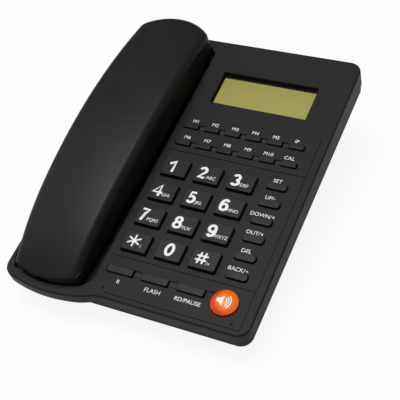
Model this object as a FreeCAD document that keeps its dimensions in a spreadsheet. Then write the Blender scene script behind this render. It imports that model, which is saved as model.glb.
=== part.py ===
import FreeCAD, Part
import os
import Sketcher
from FreeCAD import Placement, Rotation, Vector

# Corded hotel telephone: a base with a sloping key panel and a handset in a cradle along its left side.
#
# Frames. The world frame has +X to the right, +Y to the back and +Z up, with the origin on the table under
# the middle of the telephone. The panel frame has its origin in the middle of the key panel, X right, Y up the
# slope and Z square to the panel. The seam frame lies in the plane where the upper and lower case meet.

os.makedirs("parts", exist_ok=True)
doc = FreeCAD.newDocument("HotelTelephone")
dim = doc.addObject("Spreadsheet::Sheet", "Dim")

# Driving dimensions, in millimetres and degrees
DIMENSIONS = {
    "fitGap": 0.3,
    "bedGap": 0.2,
    "panelTilt": 10.0,
    "panelHeight": 40.67,
    "panelShift": -1.38,
    "seamTilt": 8.5,
    "seamHeight": 30.87,
    "caseWidth": 155.0,
    "caseFront": 97.9,
    "caseBack": 104.25,
    "skirtDepth": 16.0,
    "caseWall": 2.2,
    "plateThickness": 2.5,
    "caseCornerRadius": 8.0,
    "topEdgeRadius": 1.4,
    "noseRoot": -80.0,
    "noseCornerReach": 0.3,
    "noseCornerRadius": 9.0,
    "noseSag": 3.54,
    "noseTurnX": -27.0,
    "noseTurnReach": 4.2,
    "noseTurnSag": 0.19,
    "noseJoinX": -20.0,
    "noseJoinReach": 2.0,
    "noseJoinSag": 0.505,
    "noseEndX": -10.3,
    "grooveWidth": 0.7,
    "grooveDepth": 0.5,
    "grooveRight": 72.1,
    "grooveTop": 9.9,
    "grooveBottom": -70.0,
    "grooveFront": -94.6,
    "grooveLeft": -17.5,
    "sideGrooveTop": 38.0,
    "keyClearance": 0.35,
    "flangeWidth": 0.75,
    "flangeThickness": 1.0,
    "dialFirstColumn": -5.86,
    "dialColumnPitch": 21.68,
    "dialFirstRow": -3.9,
    "dialRowPitch": 18.6,
    "dialWidth": 16.36,
    "dialLength": 12.67,
    "dialHeight": 2.8,
    "dialCorner": 1.0,
    "dialEdge": 0.5,
    "memoryFirstColumn": -10.2,
    "memoryPitch": 13.9,
    "memoryTopRow": 29.9,
    "memoryRowPitch": 13.6,
    "memoryWidth": 9.6,
    "memoryLength": 3.6,
    "memoryHeight": 1.3,
    "memoryCorner": 0.9,
    "memorySlotMargin": 0.9,
    "webDrop": 0.7,
    "functionColumn": 58.4,
    "functionFirstRow": -0.9,
    "functionPitch": 12.56,
    "functionWidth": 12.7,
    "functionLength": 4.8,
    "functionHeight": 1.7,
    "functionCorner": 2.0,
    "lineFirstColumn": -7.4,
    "linePitch": 22.2,
    "lineRow": -79.1,
    "lineWidth": 16.4,
    "lineLength": 4.6,
    "lineHeight": 1.3,
    "lineCorner": 0.9,
    "smallEdge": 0.4,
    "speakerColumn": 58.2,
    "speakerRow": -81.1,
    "speakerRadius": 8.0,
    "speakerHeight": 1.6,
    "speakerEdge": 0.8,
    "speakerDome": 1.7,
    "displayCentreX": 24.7,
    "displayCentreY": 65.1,
    "displayWidth": 64.6,
    "displayLength": 26.4,
    "displayDepth": 3.0,
    "windowThickness": 1.2,
    "viewWidth": 62.5,
    "viewLength": 22.7,
    "viewShift": -0.6,
    "ledgeThickness": 0.9,
    "frameWall": 1.6,
    "moduleThickness": 3.0,
    "matThickness": 1.0,
    "domeHeight": 0.8,
    "matTop": -6.2,
    "boardThickness": 1.6,
    "boardBossRadius": 1.9,
    "boardLeft": -18.2,
    "boardRight": 73.0,
    "boardFront": -87.0,
    "boardBack": 34.5,
    "matLeft": -14.6,
    "matRight": 66.4,
    "matFront": -86.6,
    "matBack": 33.6,
    "domeRadius": 1.7,
    "boardScrewLeft": -16.9,
    "boardScrewRight": 70.2,
    "boardScrewFront": -50.4,
    "boardScrewBack": 24.0,
    "cradleRight": -20.4,
    "cradleFloor": 6.0,
    "cradleFront": -51.0,
    "cradleBack": 50.0,
    "wellLeft": -74.9,
    "wellFloor": 1.5,
    "wellWall": 1.8,
    "earWellDepth": 7.6,
    "earWellBack": 97.0,
    "mouthWellDepth": 5.8,
    "mouthWellFront": -94.2,
    "mouthWellSag": 4.7,
    "mouthWellHalf": 23.5,
    "handsetAxis": -48.2,
    "handsetSeam": 6.0,
    "handsetRest": 0.4,
    "handsetFront": -93.4,
    "handsetFrontHalf": 21.4,
    "handsetFrontSag": 4.6,
    "handsetBack": 94.0,
    "handsetBackHalf": 25.0,
    "handsetBackSag": 10.8,
    "handsetSideSag": 2.9,
    "handsetCornerFront": 2.5,
    "handsetCornerBack": 9.0,
    "ridgeShoulder": 22.0,
    "ridgeShoulderAt": -45.0,
    "ridgeShoulderSag": 2.35,
    "ridgeFront": 5.4,
    "ridgeFrontAt": -101.0,
    "ridgeBack": 15.5,
    "ridgeBackAt": 108.0,
    "ridgeArchSag": 6.5,
    "ridgePeak": 25.5,
    "crownRadius": 190.0,
    "handsetEdgeRadius": 5.5,
    "handsetWall": 2.2,
    "gripRaise": 3.6,
    "gripFront": -50.0,
    "gripBack": 47.0,
    "gripSlope": 6.0,
    "earCupHalf": 24.2,
    "mouthCupHalf": 21.0,
    "earCupDepth": 6.9,
    "earCupFront": 55.0,
    "earCupBack": 95.0,
    "mouthCupDepth": 5.2,
    "mouthCupFront": -91.0,
    "mouthCupBack": -57.0,
    "cupCorner": 7.0,
    "cupWall": 1.6,
    "receiverRadius": 15.5,
    "receiverHeight": 7.5,
    "receiverY": 74.0,
    "microphoneRadius": 4.9,
    "microphoneHeight": 5.5,
    "microphoneX": -36.0,
    "microphoneY": -74.0,
    "soundHoleRadius": 0.9,
    "soundHolePitch": 4.5,
    "weightWidth": 30.0,
    "weightLength": 64.0,
    "weightThickness": 8.0,
    "handsetScrewFront": -38.0,
    "handsetScrewBack": 36.0,
    "handsetBossRadius": 4.0,
    "handsetBossTop": 8.2,
    "screwRadius": 1.4,
    "screwHeadRadius": 2.7,
    "screwHeadHeight": 1.8,
    "handsetSocketWidth": 11.0,
    "handsetSocketHeight": 7.0,
    "handsetSocketLength": 14.0,
    "handsetPortWidth": 7.8,
    "handsetPortHeight": 5.6,
    "handsetPortDepth": 11.0,
    "handsetPortX": -49.6,
    "handsetPortBottom": -2.9,
    "notchHeight": 2.2,
    "plungerX": -48.2,
    "plungerY": 89.0,
    "plungerWidth": 9.0,
    "plungerLength": 5.0,
    "plungerFlange": 1.2,
    "plungerTop": -7.2,
    "plungerFlangeTop": -12.6,
    "plungerBottom": -15.0,
    "hookSwitchWidth": 12.0,
    "hookSwitchLength": 7.0,
    "hookSwitchHeight": 2.4,
    "hookSwitchAt": 89.4,
    "trayDepth": 8.0,
    "trayInset": 0.5,
    "trayBevel": 4.0,
    "trayFront": -97.1,
    "trayBack": 103.5,
    "pedestalFloor": 4.2,
    "pedestalHalf": 53.0,
    "pedestalFront": -78.0,
    "pedestalBack": 84.0,
    "pedestalCorner": 10.0,
    "footLift": 2.0,
    "footRadius": 6.5,
    "footRecess": 1.0,
    "footX": 42.0,
    "footFront": -66.0,
    "footBack": 72.0,
    "footHeight": 2.9,
    "caseScrewLeft": -12.5,
    "caseScrewRight": 66.5,
    "caseScrewFront": -90.6,
    "caseScrewBack": 95.0,
    "columnRadius": 3.2,
    "lowerColumnRadius": 4.2,
    "columnSeat": 5.2,
    "loudspeakerRadius": 25.0,
    "loudspeakerHeight": 15.0,
    "loudspeakerX": 18.0,
    "loudspeakerY": -32.0,
    "loudspeakerBottom": 4.3,
    "grilleSlotWidth": 2.0,
    "grilleSlotPitch": 5.0,
    "cellRadius": 5.2,
    "cellLength": 44.5,
    "cellPitch": 10.8,
    "cellHeight": 9.3,
    "cellY": 47.0,
    "bayWall": 1.6,
    "doorThickness": 1.8,
    "doorHalf": 18.0,
    "doorFront": 22.0,
    "doorLip": 0.6,
    "doorLedge": 1.4,
    "bayHalf": 16.2,
    "bayTop": 14.6,
    "socketWidth": 14.0,
    "socketLength": 16.0,
    "lineSocketX": -34.0,
    "socketTop": 16.0,
    "linePortWidth": 9.8,
    "linePortHeight": 7.0,
    "linePortBottom": 6.4,
    "linePortDepth": 12.5,
    "cordSocketY": -40.0,
    "cordPortWidth": 7.8,
    "cordPortHeight": 6.6,
    "cordPortBottom": 6.5,
    "cordSocketHeight": 10.5,
    "cordSocketHalf": 7.0,
    "cordSocketDepth": 15.5,
    "cordPortDepth": 11.0,
    "ringerLength": 16.0,
    "ringerHeight": 6.0,
    "ringerBodyDepth": 5.6,
    "ringerY": 30.0,
    "ringerSlotBottom": 19.2,
    "ringerKnobHeight": 2.8,
    "ringerKnobLength": 4.4,
    "ringerKnobReach": 2.6,
    "ringerTravel": 4.0,
    "mainBoardHalf": 49.5,
    "mainBoardFront": 0.0,
    "mainBoardBack": 80.0,
    "mainBoardBottom": 16.3,
    "boardPostX": 46.5,
    "boardPostFront": 6.0,
    "boardPostBack": 76.0,
    "boardPostRadius": 3.0,
    "boardScrewRadius": 0.95,
    "boardHeadRadius": 1.9,
    "boardHeadHeight": 1.1,
    "partGap": 0.1,
}


def fill_sheet():
    """Write each driving dimension in its own cell and give the cell its word alias."""
    for row, (alias, value) in enumerate(DIMENSIONS.items(), start=1):
        dim.set(f"A{row}", alias)
        dim.set(f"B{row}", str(value))
        dim.setAlias(f"B{row}", alias)
    doc.recompute()


fill_sheet()


def bind(text):
    """Turn words of a size expression that are aliases into references to the sheet."""
    out = []
    word = ""
    for letter in text + " ":
        if letter.isalnum():
            word += letter
            continue
        out.append(f"Dim.{word}" if word in DIMENSIONS else word)
        word = ""
        out.append(letter)
    return "".join(out).strip()


def number(text):
    """Work out a size expression now."""
    return float(dim.evalExpression(bind(str(text))))


def drive(thing, **properties):
    """Bind properties of an object to size expressions; a double underscore stands for a dot."""
    for name, text in properties.items():
        thing.setExpression(name.replace("__", "."), bind(str(text)))


def put_in_panel(thing):
    """Lay an object drawn in the panel frame on the sloping panel."""
    thing.Placement = Placement(Vector(), Rotation(Vector(1, 0, 0), 1))
    drive(thing, Placement__Base__y="panelShift", Placement__Base__z="panelHeight")
    drive(thing, Placement__Rotation__Angle="panelTilt * 1 deg")
    return thing


def put_in_seam(thing):
    """Lay an object drawn in the seam frame on the plane between the two halves of the case."""
    thing.Placement = Placement(Vector(), Rotation(Vector(1, 0, 0), 1))
    drive(thing, Placement__Base__z="seamHeight")
    drive(thing, Placement__Rotation__Angle="seamTilt * 1 deg")
    return thing


# Sketch helpers: every corner and radius of a sketch is bound to the sheet


class Drawing:
    """What is to be drawn in one sketch: its lines and arcs, their rules, and each rule's size."""

    def __init__(self, sketch):
        self.sketch = sketch
        self.shapes = []
        self.rules = []
        self.sizes = []

    def rule(self, size, *terms):
        """Add a rule. A rule with a size is bound to that size expression."""
        if size is None:
            self.rules.append(Sketcher.Constraint(*terms))
            return
        self.sizes.append((len(self.rules), bind(str(size))))
        self.rules.append(Sketcher.Constraint(*terms, number(size)))

    def finish(self):
        """Put everything into the sketch in one go, and return the sketch."""
        self.sketch.addGeometry(self.shapes, False)
        self.sketch.addConstraint(self.rules)
        for index, size in self.sizes:
            self.sketch.setExpression(f"Constraints[{index}]", size)
        return self.sketch


def add_loop(drawing, corners):
    """Add a closed loop, anticlockwise. A corner is (x, y), or (x, y, sag) where an arc goes to the next."""
    first = len(drawing.shapes)
    spots = [Vector(number(c[0]), number(c[1]), 0) for c in corners]
    ends = []
    for i, corner in enumerate(corners):
        here = spots[i]
        there = spots[(i + 1) % len(corners)]
        if len(corner) == 2:
            drawing.shapes.append(Part.LineSegment(here, there))
            ends.append((1, 2))
            continue
        sag = number(corner[2])
        outward = Vector(there.y - here.y, here.x - there.x, 0).normalize()
        drawing.shapes.append(Part.Arc(here, (here + there) * 0.5 + outward * sag, there))
        ends.append((1, 2) if sag > 0 else (2, 1))
    for i, corner in enumerate(corners):
        after = (i + 1) % len(corners)
        drawing.rule(None, "Coincident", first + i, ends[i][1], first + after, ends[after][0])
        drawing.rule(corner[0], "DistanceX", -1, 1, first + i, ends[i][0])
        drawing.rule(corner[1], "DistanceY", -1, 1, first + i, ends[i][0])
        if len(corner) == 3:
            x2, y2 = corners[after][:2]
            chord = f"(({x2} - ({corner[0]})) ^ 2 + ({y2} - ({corner[1]})) ^ 2)"
            drawing.rule(f"({chord} / 4 + ({corner[2]}) ^ 2) / (2 * abs({corner[2]}))", "Radius", first + i)


ROUND_SAG = 0.29289321881


def add_box(drawing, x, y, width, length, corner=None):
    """Add a rectangle about its middle, with rounded corners if a corner radius is given."""
    left, right = f"{x} - ({width}) / 2", f"{x} + ({width}) / 2"
    low, high = f"{y} - ({length}) / 2", f"{y} + ({length}) / 2"
    add_span(drawing, left, right, low, high, corner)


def add_span(drawing, left, right, low, high, corner=None):
    """Add a rectangle between two sides, with rounded corners if a corner radius is given."""
    if corner is None:
        add_loop(drawing, [(left, low), (right, low), (right, high), (left, high)])
        return
    sag = f"({corner}) * {ROUND_SAG}"
    add_loop(
        drawing,
        [
            (f"{left} + {corner}", low),
            (f"{right} - ({corner})", low, sag),
            (right, f"{low} + {corner}"),
            (right, f"{high} - ({corner})", sag),
            (f"{right} - ({corner})", high),
            (f"{left} + {corner}", high, sag),
            (left, f"{high} - ({corner})"),
            (left, f"{low} + {corner}", sag),
        ],
    )


def add_ring(drawing, x, y, radius):
    """Add a circle."""
    here = len(drawing.shapes)
    drawing.shapes.append(Part.Circle(Vector(number(x), number(y), 0), Vector(0, 0, 1), number(radius)))
    drawing.rule(x, "DistanceX", -1, 1, here, 3)
    drawing.rule(y, "DistanceY", -1, 1, here, 3)
    drawing.rule(radius, "Radius", here)


class Piece:
    """A body that is drawn with sketches and features, from the sizes on the sheet."""

    def __init__(self, name):
        self.body = doc.addObject("PartDesign::Body", name)
        self.name = name
        self.count = 0

    def sketch(self, level="0", plane="XY_Plane"):
        """Start a sketch on a plane of the body, at a level along the plane's normal."""
        self.count += 1
        sketch = self.body.newObject("Sketcher::SketchObject", f"{self.name}_sketch{self.count}")
        support = next(o for o in self.body.Origin.OriginFeatures if o.Role == plane)
        sketch.AttachmentSupport = (support, [""])
        sketch.MapMode = "FlatFace"
        sketch.setExpression("AttachmentOffset.Base.z", bind(str(level)))
        return Drawing(sketch)

    def feature(self, kind, drawing, **sizes):
        """Add a feature that takes its shape from a drawing."""
        sketch = drawing.finish()
        feature = self.body.newObject(f"PartDesign::{kind}", f"{self.name}_{kind.lower()}{self.count}")
        feature.Profile = sketch
        drive(feature, **sizes)
        return feature

    def pad(self, sketch, length, down=False, both=False):
        """Raise a sketch into a solid."""
        feature = self.feature("Pad", sketch, Length=length)
        feature.Reversed = down
        feature.Midplane = both
        doc.recompute()
        return feature

    def pocket(self, sketch, length, up=False, both=False):
        """Cut a sketch into the solid, downwards unless told otherwise, and see that something went."""
        before = self.body.Shape.Volume
        feature = self.feature("Pocket", sketch, Length=length)
        feature.Reversed = up
        feature.Midplane = both
        doc.recompute()
        if not self.body.Shape.Volume < before - 1e-6:
            raise RuntimeError(f"{feature.Name} removed nothing")
        return feature

    def turn(self, drawing, place, upright_axis, angle="360", kind="Revolution"):
        """Turn a sketch round an axis of its own, upright or level, at a place along the other direction."""
        feature = self.feature(kind, drawing, Angle=angle)
        sketch = drawing.sketch
        at = number(place)
        along = Vector(0, 9, 0) if upright_axis else Vector(9, 0, 0)
        middle = Vector(at, 0, 0) if upright_axis else Vector(0, at, 0)
        start, end = middle - along, middle + along
        line = sketch.addGeometry(Part.LineSegment(start, end), True)
        sketch.addConstraint(Sketcher.Constraint("Vertical" if upright_axis else "Horizontal", line))
        measure = "DistanceX" if upright_axis else "DistanceY"
        index = sketch.addConstraint(Sketcher.Constraint(measure, -1, 1, line, 1, at))
        sketch.setExpression(f"Constraints[{index}]", bind(place))
        feature.ReferenceAxis = (sketch, ["Axis0"])
        feature.Midplane = kind == "Groove"
        doc.recompute()
        return feature

    def round_edges(self, test, radius, kind="Fillet"):
        """Round or bevel the edges that pass a test."""
        base = self.body.Tip
        names = [f"Edge{i}" for i, edge in enumerate(base.Shape.Edges, start=1) if test(edge)]
        if not names:
            raise RuntimeError(f"{self.name}: no edge to round")
        feature = self.body.newObject(f"PartDesign::{kind}", f"{self.name}_{kind.lower()}{self.count}")
        feature.Base = (base, names)
        drive(feature, **{"Radius" if kind == "Fillet" else "Size": radius})
        doc.recompute()
        return feature


def at_level(level, slack=1e-4):
    """Test: an edge lies wholly at one height."""
    height = number(level)
    return lambda edge: abs(edge.BoundBox.ZMin - height) < slack and abs(edge.BoundBox.ZMax - height) < slack


def upright(slack=1e-4):
    """Test: an edge is straight and square to the sketch plane."""
    return lambda edge: edge.BoundBox.XLength < slack and edge.BoundBox.YLength < slack


def both(*tests):
    """Test: an edge passes all of several tests."""
    return lambda edge: all(test(edge) for test in tests)


def near(x, y, reach=3.0):
    """Test: an edge's middle is close to a place in plan."""
    spot_x = number(x)
    spot_y = number(y)

    def test(edge):
        middle = edge.CenterOfMass
        return abs(middle.x - spot_x) < reach and abs(middle.y - spot_y) < reach

    return test


# Solids made with primitives and booleans


def block(name, left, right, low, high, bottom, top):
    """Add a box between six faces."""
    box = doc.addObject("Part::Box", name)
    drive(box, Length=f"{right} - ({left})", Width=f"{high} - ({low})", Height=f"{top} - ({bottom})")
    drive(box, Placement__Base__x=left, Placement__Base__y=low, Placement__Base__z=bottom)
    return box


AXIS_TURNS = {
    "+Z": Rotation(),
    "-Z": Rotation(Vector(1, 0, 0), 180),
    "+Y": Rotation(Vector(1, 0, 0), -90),
    "-Y": Rotation(Vector(1, 0, 0), 90),
    "+X": Rotation(Vector(0, 1, 0), 90),
    "-X": Rotation(Vector(0, 1, 0), -90),
}


def drum(name, x, y, z, radius, height, axis="+Z"):
    """Add a cylinder that starts at a place and runs along an axis."""
    cylinder = doc.addObject("Part::Cylinder", name)
    cylinder.Placement = Placement(Vector(), AXIS_TURNS[axis])
    drive(cylinder, Radius=radius, Height=height)
    drive(cylinder, Placement__Base__x=x, Placement__Base__y=y, Placement__Base__z=z)
    return cylinder


def join(name, things):
    """Fuse several solids into one."""
    fusion = doc.addObject("Part::MultiFuse", name)
    fusion.Shapes = things
    return fusion


def group(name, things):
    """Keep several separate solids together as one sub-part."""
    compound = doc.addObject("Part::Compound", name)
    compound.Links = things
    return compound


def overlap(name, things):
    """Keep what several solids share."""
    common = doc.addObject("Part::MultiCommon", name)
    common.Shapes = things
    return common


def carve(name, base, tools):
    """Cut tools out of a solid."""
    cut = doc.addObject("Part::Cut", name)
    cut.Base = base
    cut.Tool = tools[0] if len(tools) == 1 else join(f"{name}_tools", tools)
    return cut


# Places of the keys, as size expressions in the panel frame

DIAL_NAMES = ["1", "2", "3", "4", "5", "6", "7", "8", "9", "star", "0", "hash"]
MEMORY_COLUMNS = 6
FUNCTION_COUNT = 6
LINE_COUNT = 3


def key_places():
    """Name each key and give its kind, column and row."""
    places = {}
    for i, name in enumerate(DIAL_NAMES):
        x = f"(dialFirstColumn + {i % 3} * dialColumnPitch)"
        y = f"(dialFirstRow - {i // 3} * dialRowPitch)"
        places[f"dial_key_{name}"] = ("dial", x, y)
    for row in range(2):
        for column in range(MEMORY_COLUMNS):
            x = f"(memoryFirstColumn + {column} * memoryPitch)"
            y = f"(memoryTopRow - {row} * memoryRowPitch)"
            places[f"memory_key_{row * MEMORY_COLUMNS + column + 1:02d}"] = ("memory", x, y)
    for i in range(FUNCTION_COUNT):
        row = f"(functionFirstRow - {i} * functionPitch)"
        places[f"function_key_{i + 1}"] = ("function", "functionColumn", row)
    for i in range(LINE_COUNT):
        places[f"line_key_{i + 1}"] = ("line", f"(lineFirstColumn + {i} * linePitch)", "lineRow")
    return places


KEYS = key_places()
NODES = {}


def keep(label, thing):
    """Give a finished sub-part its own label, which names its file."""
    thing.Label = label
    NODES[label] = thing
    return thing


def make_cap(label, kind, x, y):
    """A key: a flange that keeps it behind the panel, and a cap that stands through its hole."""
    piece = Piece(label)
    flange = piece.sketch("-plateThickness - bedGap - flangeThickness")
    add_box(flange, x, y, f"{kind}Width + 2 * flangeWidth", f"{kind}Length + 2 * flangeWidth")
    piece.pad(flange, "flangeThickness")
    cap = piece.sketch("-plateThickness - bedGap")
    add_box(cap, x, y, f"{kind}Width", f"{kind}Length", f"{kind}Corner")
    piece.pad(cap, f"plateThickness + bedGap + {kind}Height")
    edge = "dialEdge" if kind == "dial" else "smallEdge"
    piece.round_edges(at_level(f"{kind}Height"), edge)
    return keep(label, put_in_panel(piece.body))


def make_speaker_key():
    """The round hands-free key: a flange and a domed button."""
    piece = Piece("handsfree_key")
    flange = piece.sketch("-plateThickness - bedGap - flangeThickness")
    add_ring(flange, "speakerColumn", "speakerRow", "speakerRadius + flangeWidth")
    piece.pad(flange, "flangeThickness")
    section = piece.sketch("speakerColumn", "YZ_Plane")
    low = "-plateThickness - bedGap"
    chord = "((speakerRadius - speakerEdge) ^ 2 + speakerDome ^ 2)"
    curve = f"({chord} / (2 * speakerDome))"
    add_loop(
        section,
        [
            ("speakerRow", low),
            ("speakerRow + speakerRadius", low),
            (
                "speakerRow + speakerRadius",
                "speakerHeight - speakerEdge",
                f"speakerEdge * {ROUND_SAG}",
            ),
            (
                "speakerRow + speakerRadius - speakerEdge",
                "speakerHeight",
                f"{curve} - sqrt({curve} ^ 2 - {chord} / 4)",
            ),
            ("speakerRow", "speakerHeight + speakerDome"),
        ],
    )
    piece.turn(section, "speakerRow", True)
    return keep("handsfree_key", put_in_panel(piece.body))


def add_holes(piece, kinds, extra, depth, level="0"):
    """Cut a hole round the cap of every key of some kinds, with a clearance, three holes to a sketch."""
    places = [place for place in KEYS.values() if place[0] in kinds]
    for start in range(0, len(places), 3):
        sketch = piece.sketch(level)
        for kind, x, y in places[start : start + 3]:
            width = f"{kind}Width + 2 * {extra}"
            length = f"{kind}Length + 2 * {extra}"
            add_box(sketch, x, y, width, length, f"{kind}Corner")
        piece.pocket(sketch, depth)


def cut_boxes(piece, level, depth, boxes, up=False):
    """Cut several plain rectangles, each given as left, right, low and high."""
    sketch = piece.sketch(level)
    for box in boxes:
        add_span(sketch, *box)
    piece.pocket(sketch, depth, up=up)


def make_upper_shell():
    """The upper case before its seam is cut: skirt, key panel, cradle, display frame and board bosses."""
    piece = Piece("upper_shell")
    half = "caseWidth / 2"
    outline = piece.sketch()
    add_span(outline, f"-{half}", half, "-caseFront", "caseBack")
    piece.pad(outline, "skirtDepth", down=True)
    nose = piece.sketch()
    add_loop(
        nose,
        [
            (f"-{half}", "-caseFront - noseCornerReach", "noseSag"),
            ("noseTurnX", "-caseFront - noseTurnReach", "noseTurnSag"),
            ("noseJoinX", "-caseFront - noseJoinReach", "-noseJoinSag"),
            ("noseEndX", "-caseFront"),
            ("noseEndX", "noseRoot"),
            (f"-{half}", "noseRoot"),
        ],
    )
    piece.pad(nose, "skirtDepth", down=True)
    piece.round_edges(both(upright(), near(f"-{half}", "-caseFront - noseCornerReach")), "noseCornerRadius")
    piece.round_edges(both(upright(), near(half, "-caseFront")), "caseCornerRadius")
    piece.round_edges(both(upright(), near(half, "caseBack")), "caseCornerRadius")
    piece.round_edges(both(upright(), near(f"-{half}", "caseBack")), "caseCornerRadius")
    piece.round_edges(at_level("0"), "topEdgeRadius")
    hollow = piece.sketch("-plateThickness")
    add_span(
        hollow,
        f"-{half} + caseWall",
        f"{half} - caseWall",
        "-caseFront + caseWall",
        "caseBack - caseWall",
        "caseCornerRadius - caseWall",
    )
    piece.pocket(hollow, "skirtDepth")
    wells = (
        ("mouthWellDepth", "-caseFront + caseWall / 2", "cradleFront"),
        ("cradleFloor", "cradleFront", "cradleBack"),
        ("earWellDepth", "cradleBack", "caseBack - caseWall / 2"),
    )
    for depth, low, high in wells:
        pan = piece.sketch(f"-{depth} - wellFloor")
        add_span(pan, f"-{half} + caseWall / 2", "cradleRight + wellWall", low, high)
        piece.pad(pan, f"{depth} + wellFloor - plateThickness / 2")
    frame = piece.sketch("-displayDepth - windowThickness - ledgeThickness - moduleThickness")
    outer = "2 * frameWall"
    add_box(frame, "displayCentreX", "displayCentreY", f"displayWidth + {outer}", f"displayLength + {outer}")
    stack = "windowThickness + ledgeThickness + moduleThickness"
    piece.pad(frame, f"displayDepth + {stack} - plateThickness / 2")
    bosses = piece.sketch("matTop - matThickness")
    for x in ("boardScrewLeft", "boardScrewRight"):
        for y in ("boardScrewFront", "boardScrewBack"):
            add_ring(bosses, x, y, "boardBossRadius")
    piece.pad(bosses, "-matTop + matThickness - plateThickness / 2")
    mouth = piece.sketch()
    add_loop(
        mouth,
        [
            ("wellLeft", "mouthWellFront + 6"),
            ("handsetAxis - mouthWellHalf", "mouthWellFront", "mouthWellSag"),
            ("handsetAxis + mouthWellHalf", "mouthWellFront"),
            ("cradleRight", "mouthWellFront + 6"),
            ("cradleRight", "cradleFront"),
            ("wellLeft", "cradleFront"),
        ],
    )
    piece.pocket(mouth, "mouthWellDepth")
    cut_boxes(piece, "0", "cradleFloor", [(f"-{half} - 1", "cradleRight", "cradleFront", "cradleBack")])
    ear = piece.sketch()
    add_span(ear, "wellLeft", "cradleRight", "cradleBack - 0.01", "earWellBack")
    piece.pocket(ear, "earWellDepth")
    slot = "memorySlotMargin"
    slots = piece.sketch()
    for row in range(2):
        y = f"(memoryTopRow - {row} * memoryRowPitch)"
        last = f"memoryFirstColumn + {MEMORY_COLUMNS - 1} * memoryPitch"
        add_span(
            slots,
            f"memoryFirstColumn - memoryWidth / 2 - {slot}",
            f"{last} + memoryWidth / 2 + {slot}",
            f"{y} - memoryLength / 2 - keyClearance",
            f"{y} + memoryLength / 2 + keyClearance",
            "memoryCorner + keyClearance",
        )
    piece.pocket(slots, "webDrop")
    line = piece.sketch()
    add_span(
        line,
        f"lineFirstColumn - lineWidth / 2 - {slot}",
        "speakerColumn",
        "lineRow - lineLength / 2 - keyClearance",
        "lineRow + lineLength / 2 + keyClearance",
        "lineCorner + keyClearance",
    )
    piece.pocket(line, "webDrop")
    for kind in ("dial", "memory", "function", "line"):
        add_holes(piece, (kind,), "keyClearance", "plateThickness + 0.5")
    round_hole = piece.sketch()
    add_ring(round_hole, "speakerColumn", "speakerRow", "speakerRadius + keyClearance")
    piece.pocket(round_hole, "plateThickness + 0.5")
    recess = piece.sketch()
    add_box(recess, "displayCentreX", "displayCentreY", "displayWidth", "displayLength")
    piece.pocket(recess, "displayDepth + windowThickness")
    view = piece.sketch("-displayDepth - windowThickness + 0.1")
    add_box(view, "displayCentreX", "displayCentreY + viewShift", "viewWidth", "viewLength")
    piece.pocket(view, "ledgeThickness + 0.2")
    bed = piece.sketch("-displayDepth - windowThickness - ledgeThickness")
    add_box(bed, "displayCentreX", "displayCentreY", "displayWidth", "displayLength")
    piece.pocket(bed, "moduleThickness + 1")
    groove = "grooveWidth / 2"
    cut_boxes(
        piece,
        "0",
        "grooveDepth",
        [
            ("grooveLeft", "grooveRight", f"{y} - {groove}", f"{y} + {groove}")
            for y in ("grooveTop", "grooveBottom")
        ],
    )
    cut_boxes(
        piece,
        "0",
        "grooveDepth",
        [("noseEndX", "grooveRight", f"grooveFront - {groove}", f"grooveFront + {groove}")],
    )
    cut_boxes(
        piece,
        "0",
        "grooveDepth",
        [(f"grooveRight - {groove}", f"grooveRight + {groove}", f"grooveFront - {groove}", "sideGrooveTop")],
    )
    pilots = piece.sketch("matTop - matThickness")
    for x in ("boardScrewLeft", "boardScrewRight"):
        for y in ("boardScrewFront", "boardScrewBack"):
            add_ring(pilots, x, y, "boardScrewRadius + partGap")
    piece.pocket(pilots, "4", up=True)
    hole = piece.sketch("-earWellDepth + 1")
    size = "2 * fitGap"
    add_box(hole, "plungerX", "plungerY", f"plungerWidth + {size}", f"plungerLength + {size}")
    piece.pocket(hole, "wellFloor + 1.5")
    return put_in_panel(piece.body)


def rings_in_seam(name, radius, height, level="0", down=False):
    """Add the four round forms of the case screws, square to the seam."""
    piece = Piece(name)
    sketch = piece.sketch(level)
    for x in ("caseScrewLeft", "caseScrewRight"):
        for y in ("caseScrewFront", "caseScrewBack"):
            add_ring(sketch, x, y, radius)
    piece.pad(sketch, height, down=down)
    return put_in_seam(piece.body)


def slab_in_seam(name, level, height, down):
    """Add a large slab above or below a level of the seam frame."""
    piece = Piece(name)
    sketch = piece.sketch(level)
    add_box(sketch, "0", "0", "caseWidth + 60", "caseFront + caseBack + 60")
    piece.pad(sketch, height, down=down)
    return put_in_seam(piece.body)


def make_upper_case():
    """Trim the upper shell at the seam and add the bosses of the case screws."""
    shell = make_upper_shell()
    ceiling = Piece("boss_ceiling")
    outline = ceiling.sketch("-plateThickness / 2")
    add_box(outline, "0", "0", "caseWidth - 2", "caseFront + caseBack - 12")
    ceiling.pad(outline, "60", down=True)
    put_in_panel(ceiling.body)
    posts = rings_in_seam("case_posts", "columnRadius", "30")
    trimmed = overlap("case_posts_trimmed", [posts, ceiling.body])
    whole = join("upper_whole", [shell, trimmed])
    below = slab_in_seam("below_seam", "0", "80", True)
    pilots = rings_in_seam("case_pilots", "screwRadius + partGap", "8", "-0.5")
    return keep("upper_case", carve("upper_cut", whole, [below, pilots]))


def make_key_mat():
    """The rubber mat under the keys, with a dome under each key that is low enough for the key's travel."""
    piece = Piece("key_mat")
    plate = piece.sketch("matTop - matThickness")
    add_span(plate, "matLeft", "matRight", "matFront", "matBack", "2")
    piece.pad(plate, "matThickness")
    places = [(x, y) for _, x, y in KEYS.values()] + [("speakerColumn", "speakerRow")]
    for start in range(0, len(places), 6):
        domes = piece.sketch("matTop")
        for x, y in places[start : start + 6]:
            add_ring(domes, x, y, "domeRadius")
        piece.pad(domes, "domeHeight")
    return keep("key_mat", put_in_panel(piece.body))




def pairs(across, along):
    """Every pairing of some X places with some Y places."""
    return [(x, y) for x in across for y in along]


BOARD_SCREWS = pairs(("boardScrewLeft", "boardScrewRight"), ("boardScrewFront", "boardScrewBack"))


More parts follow.
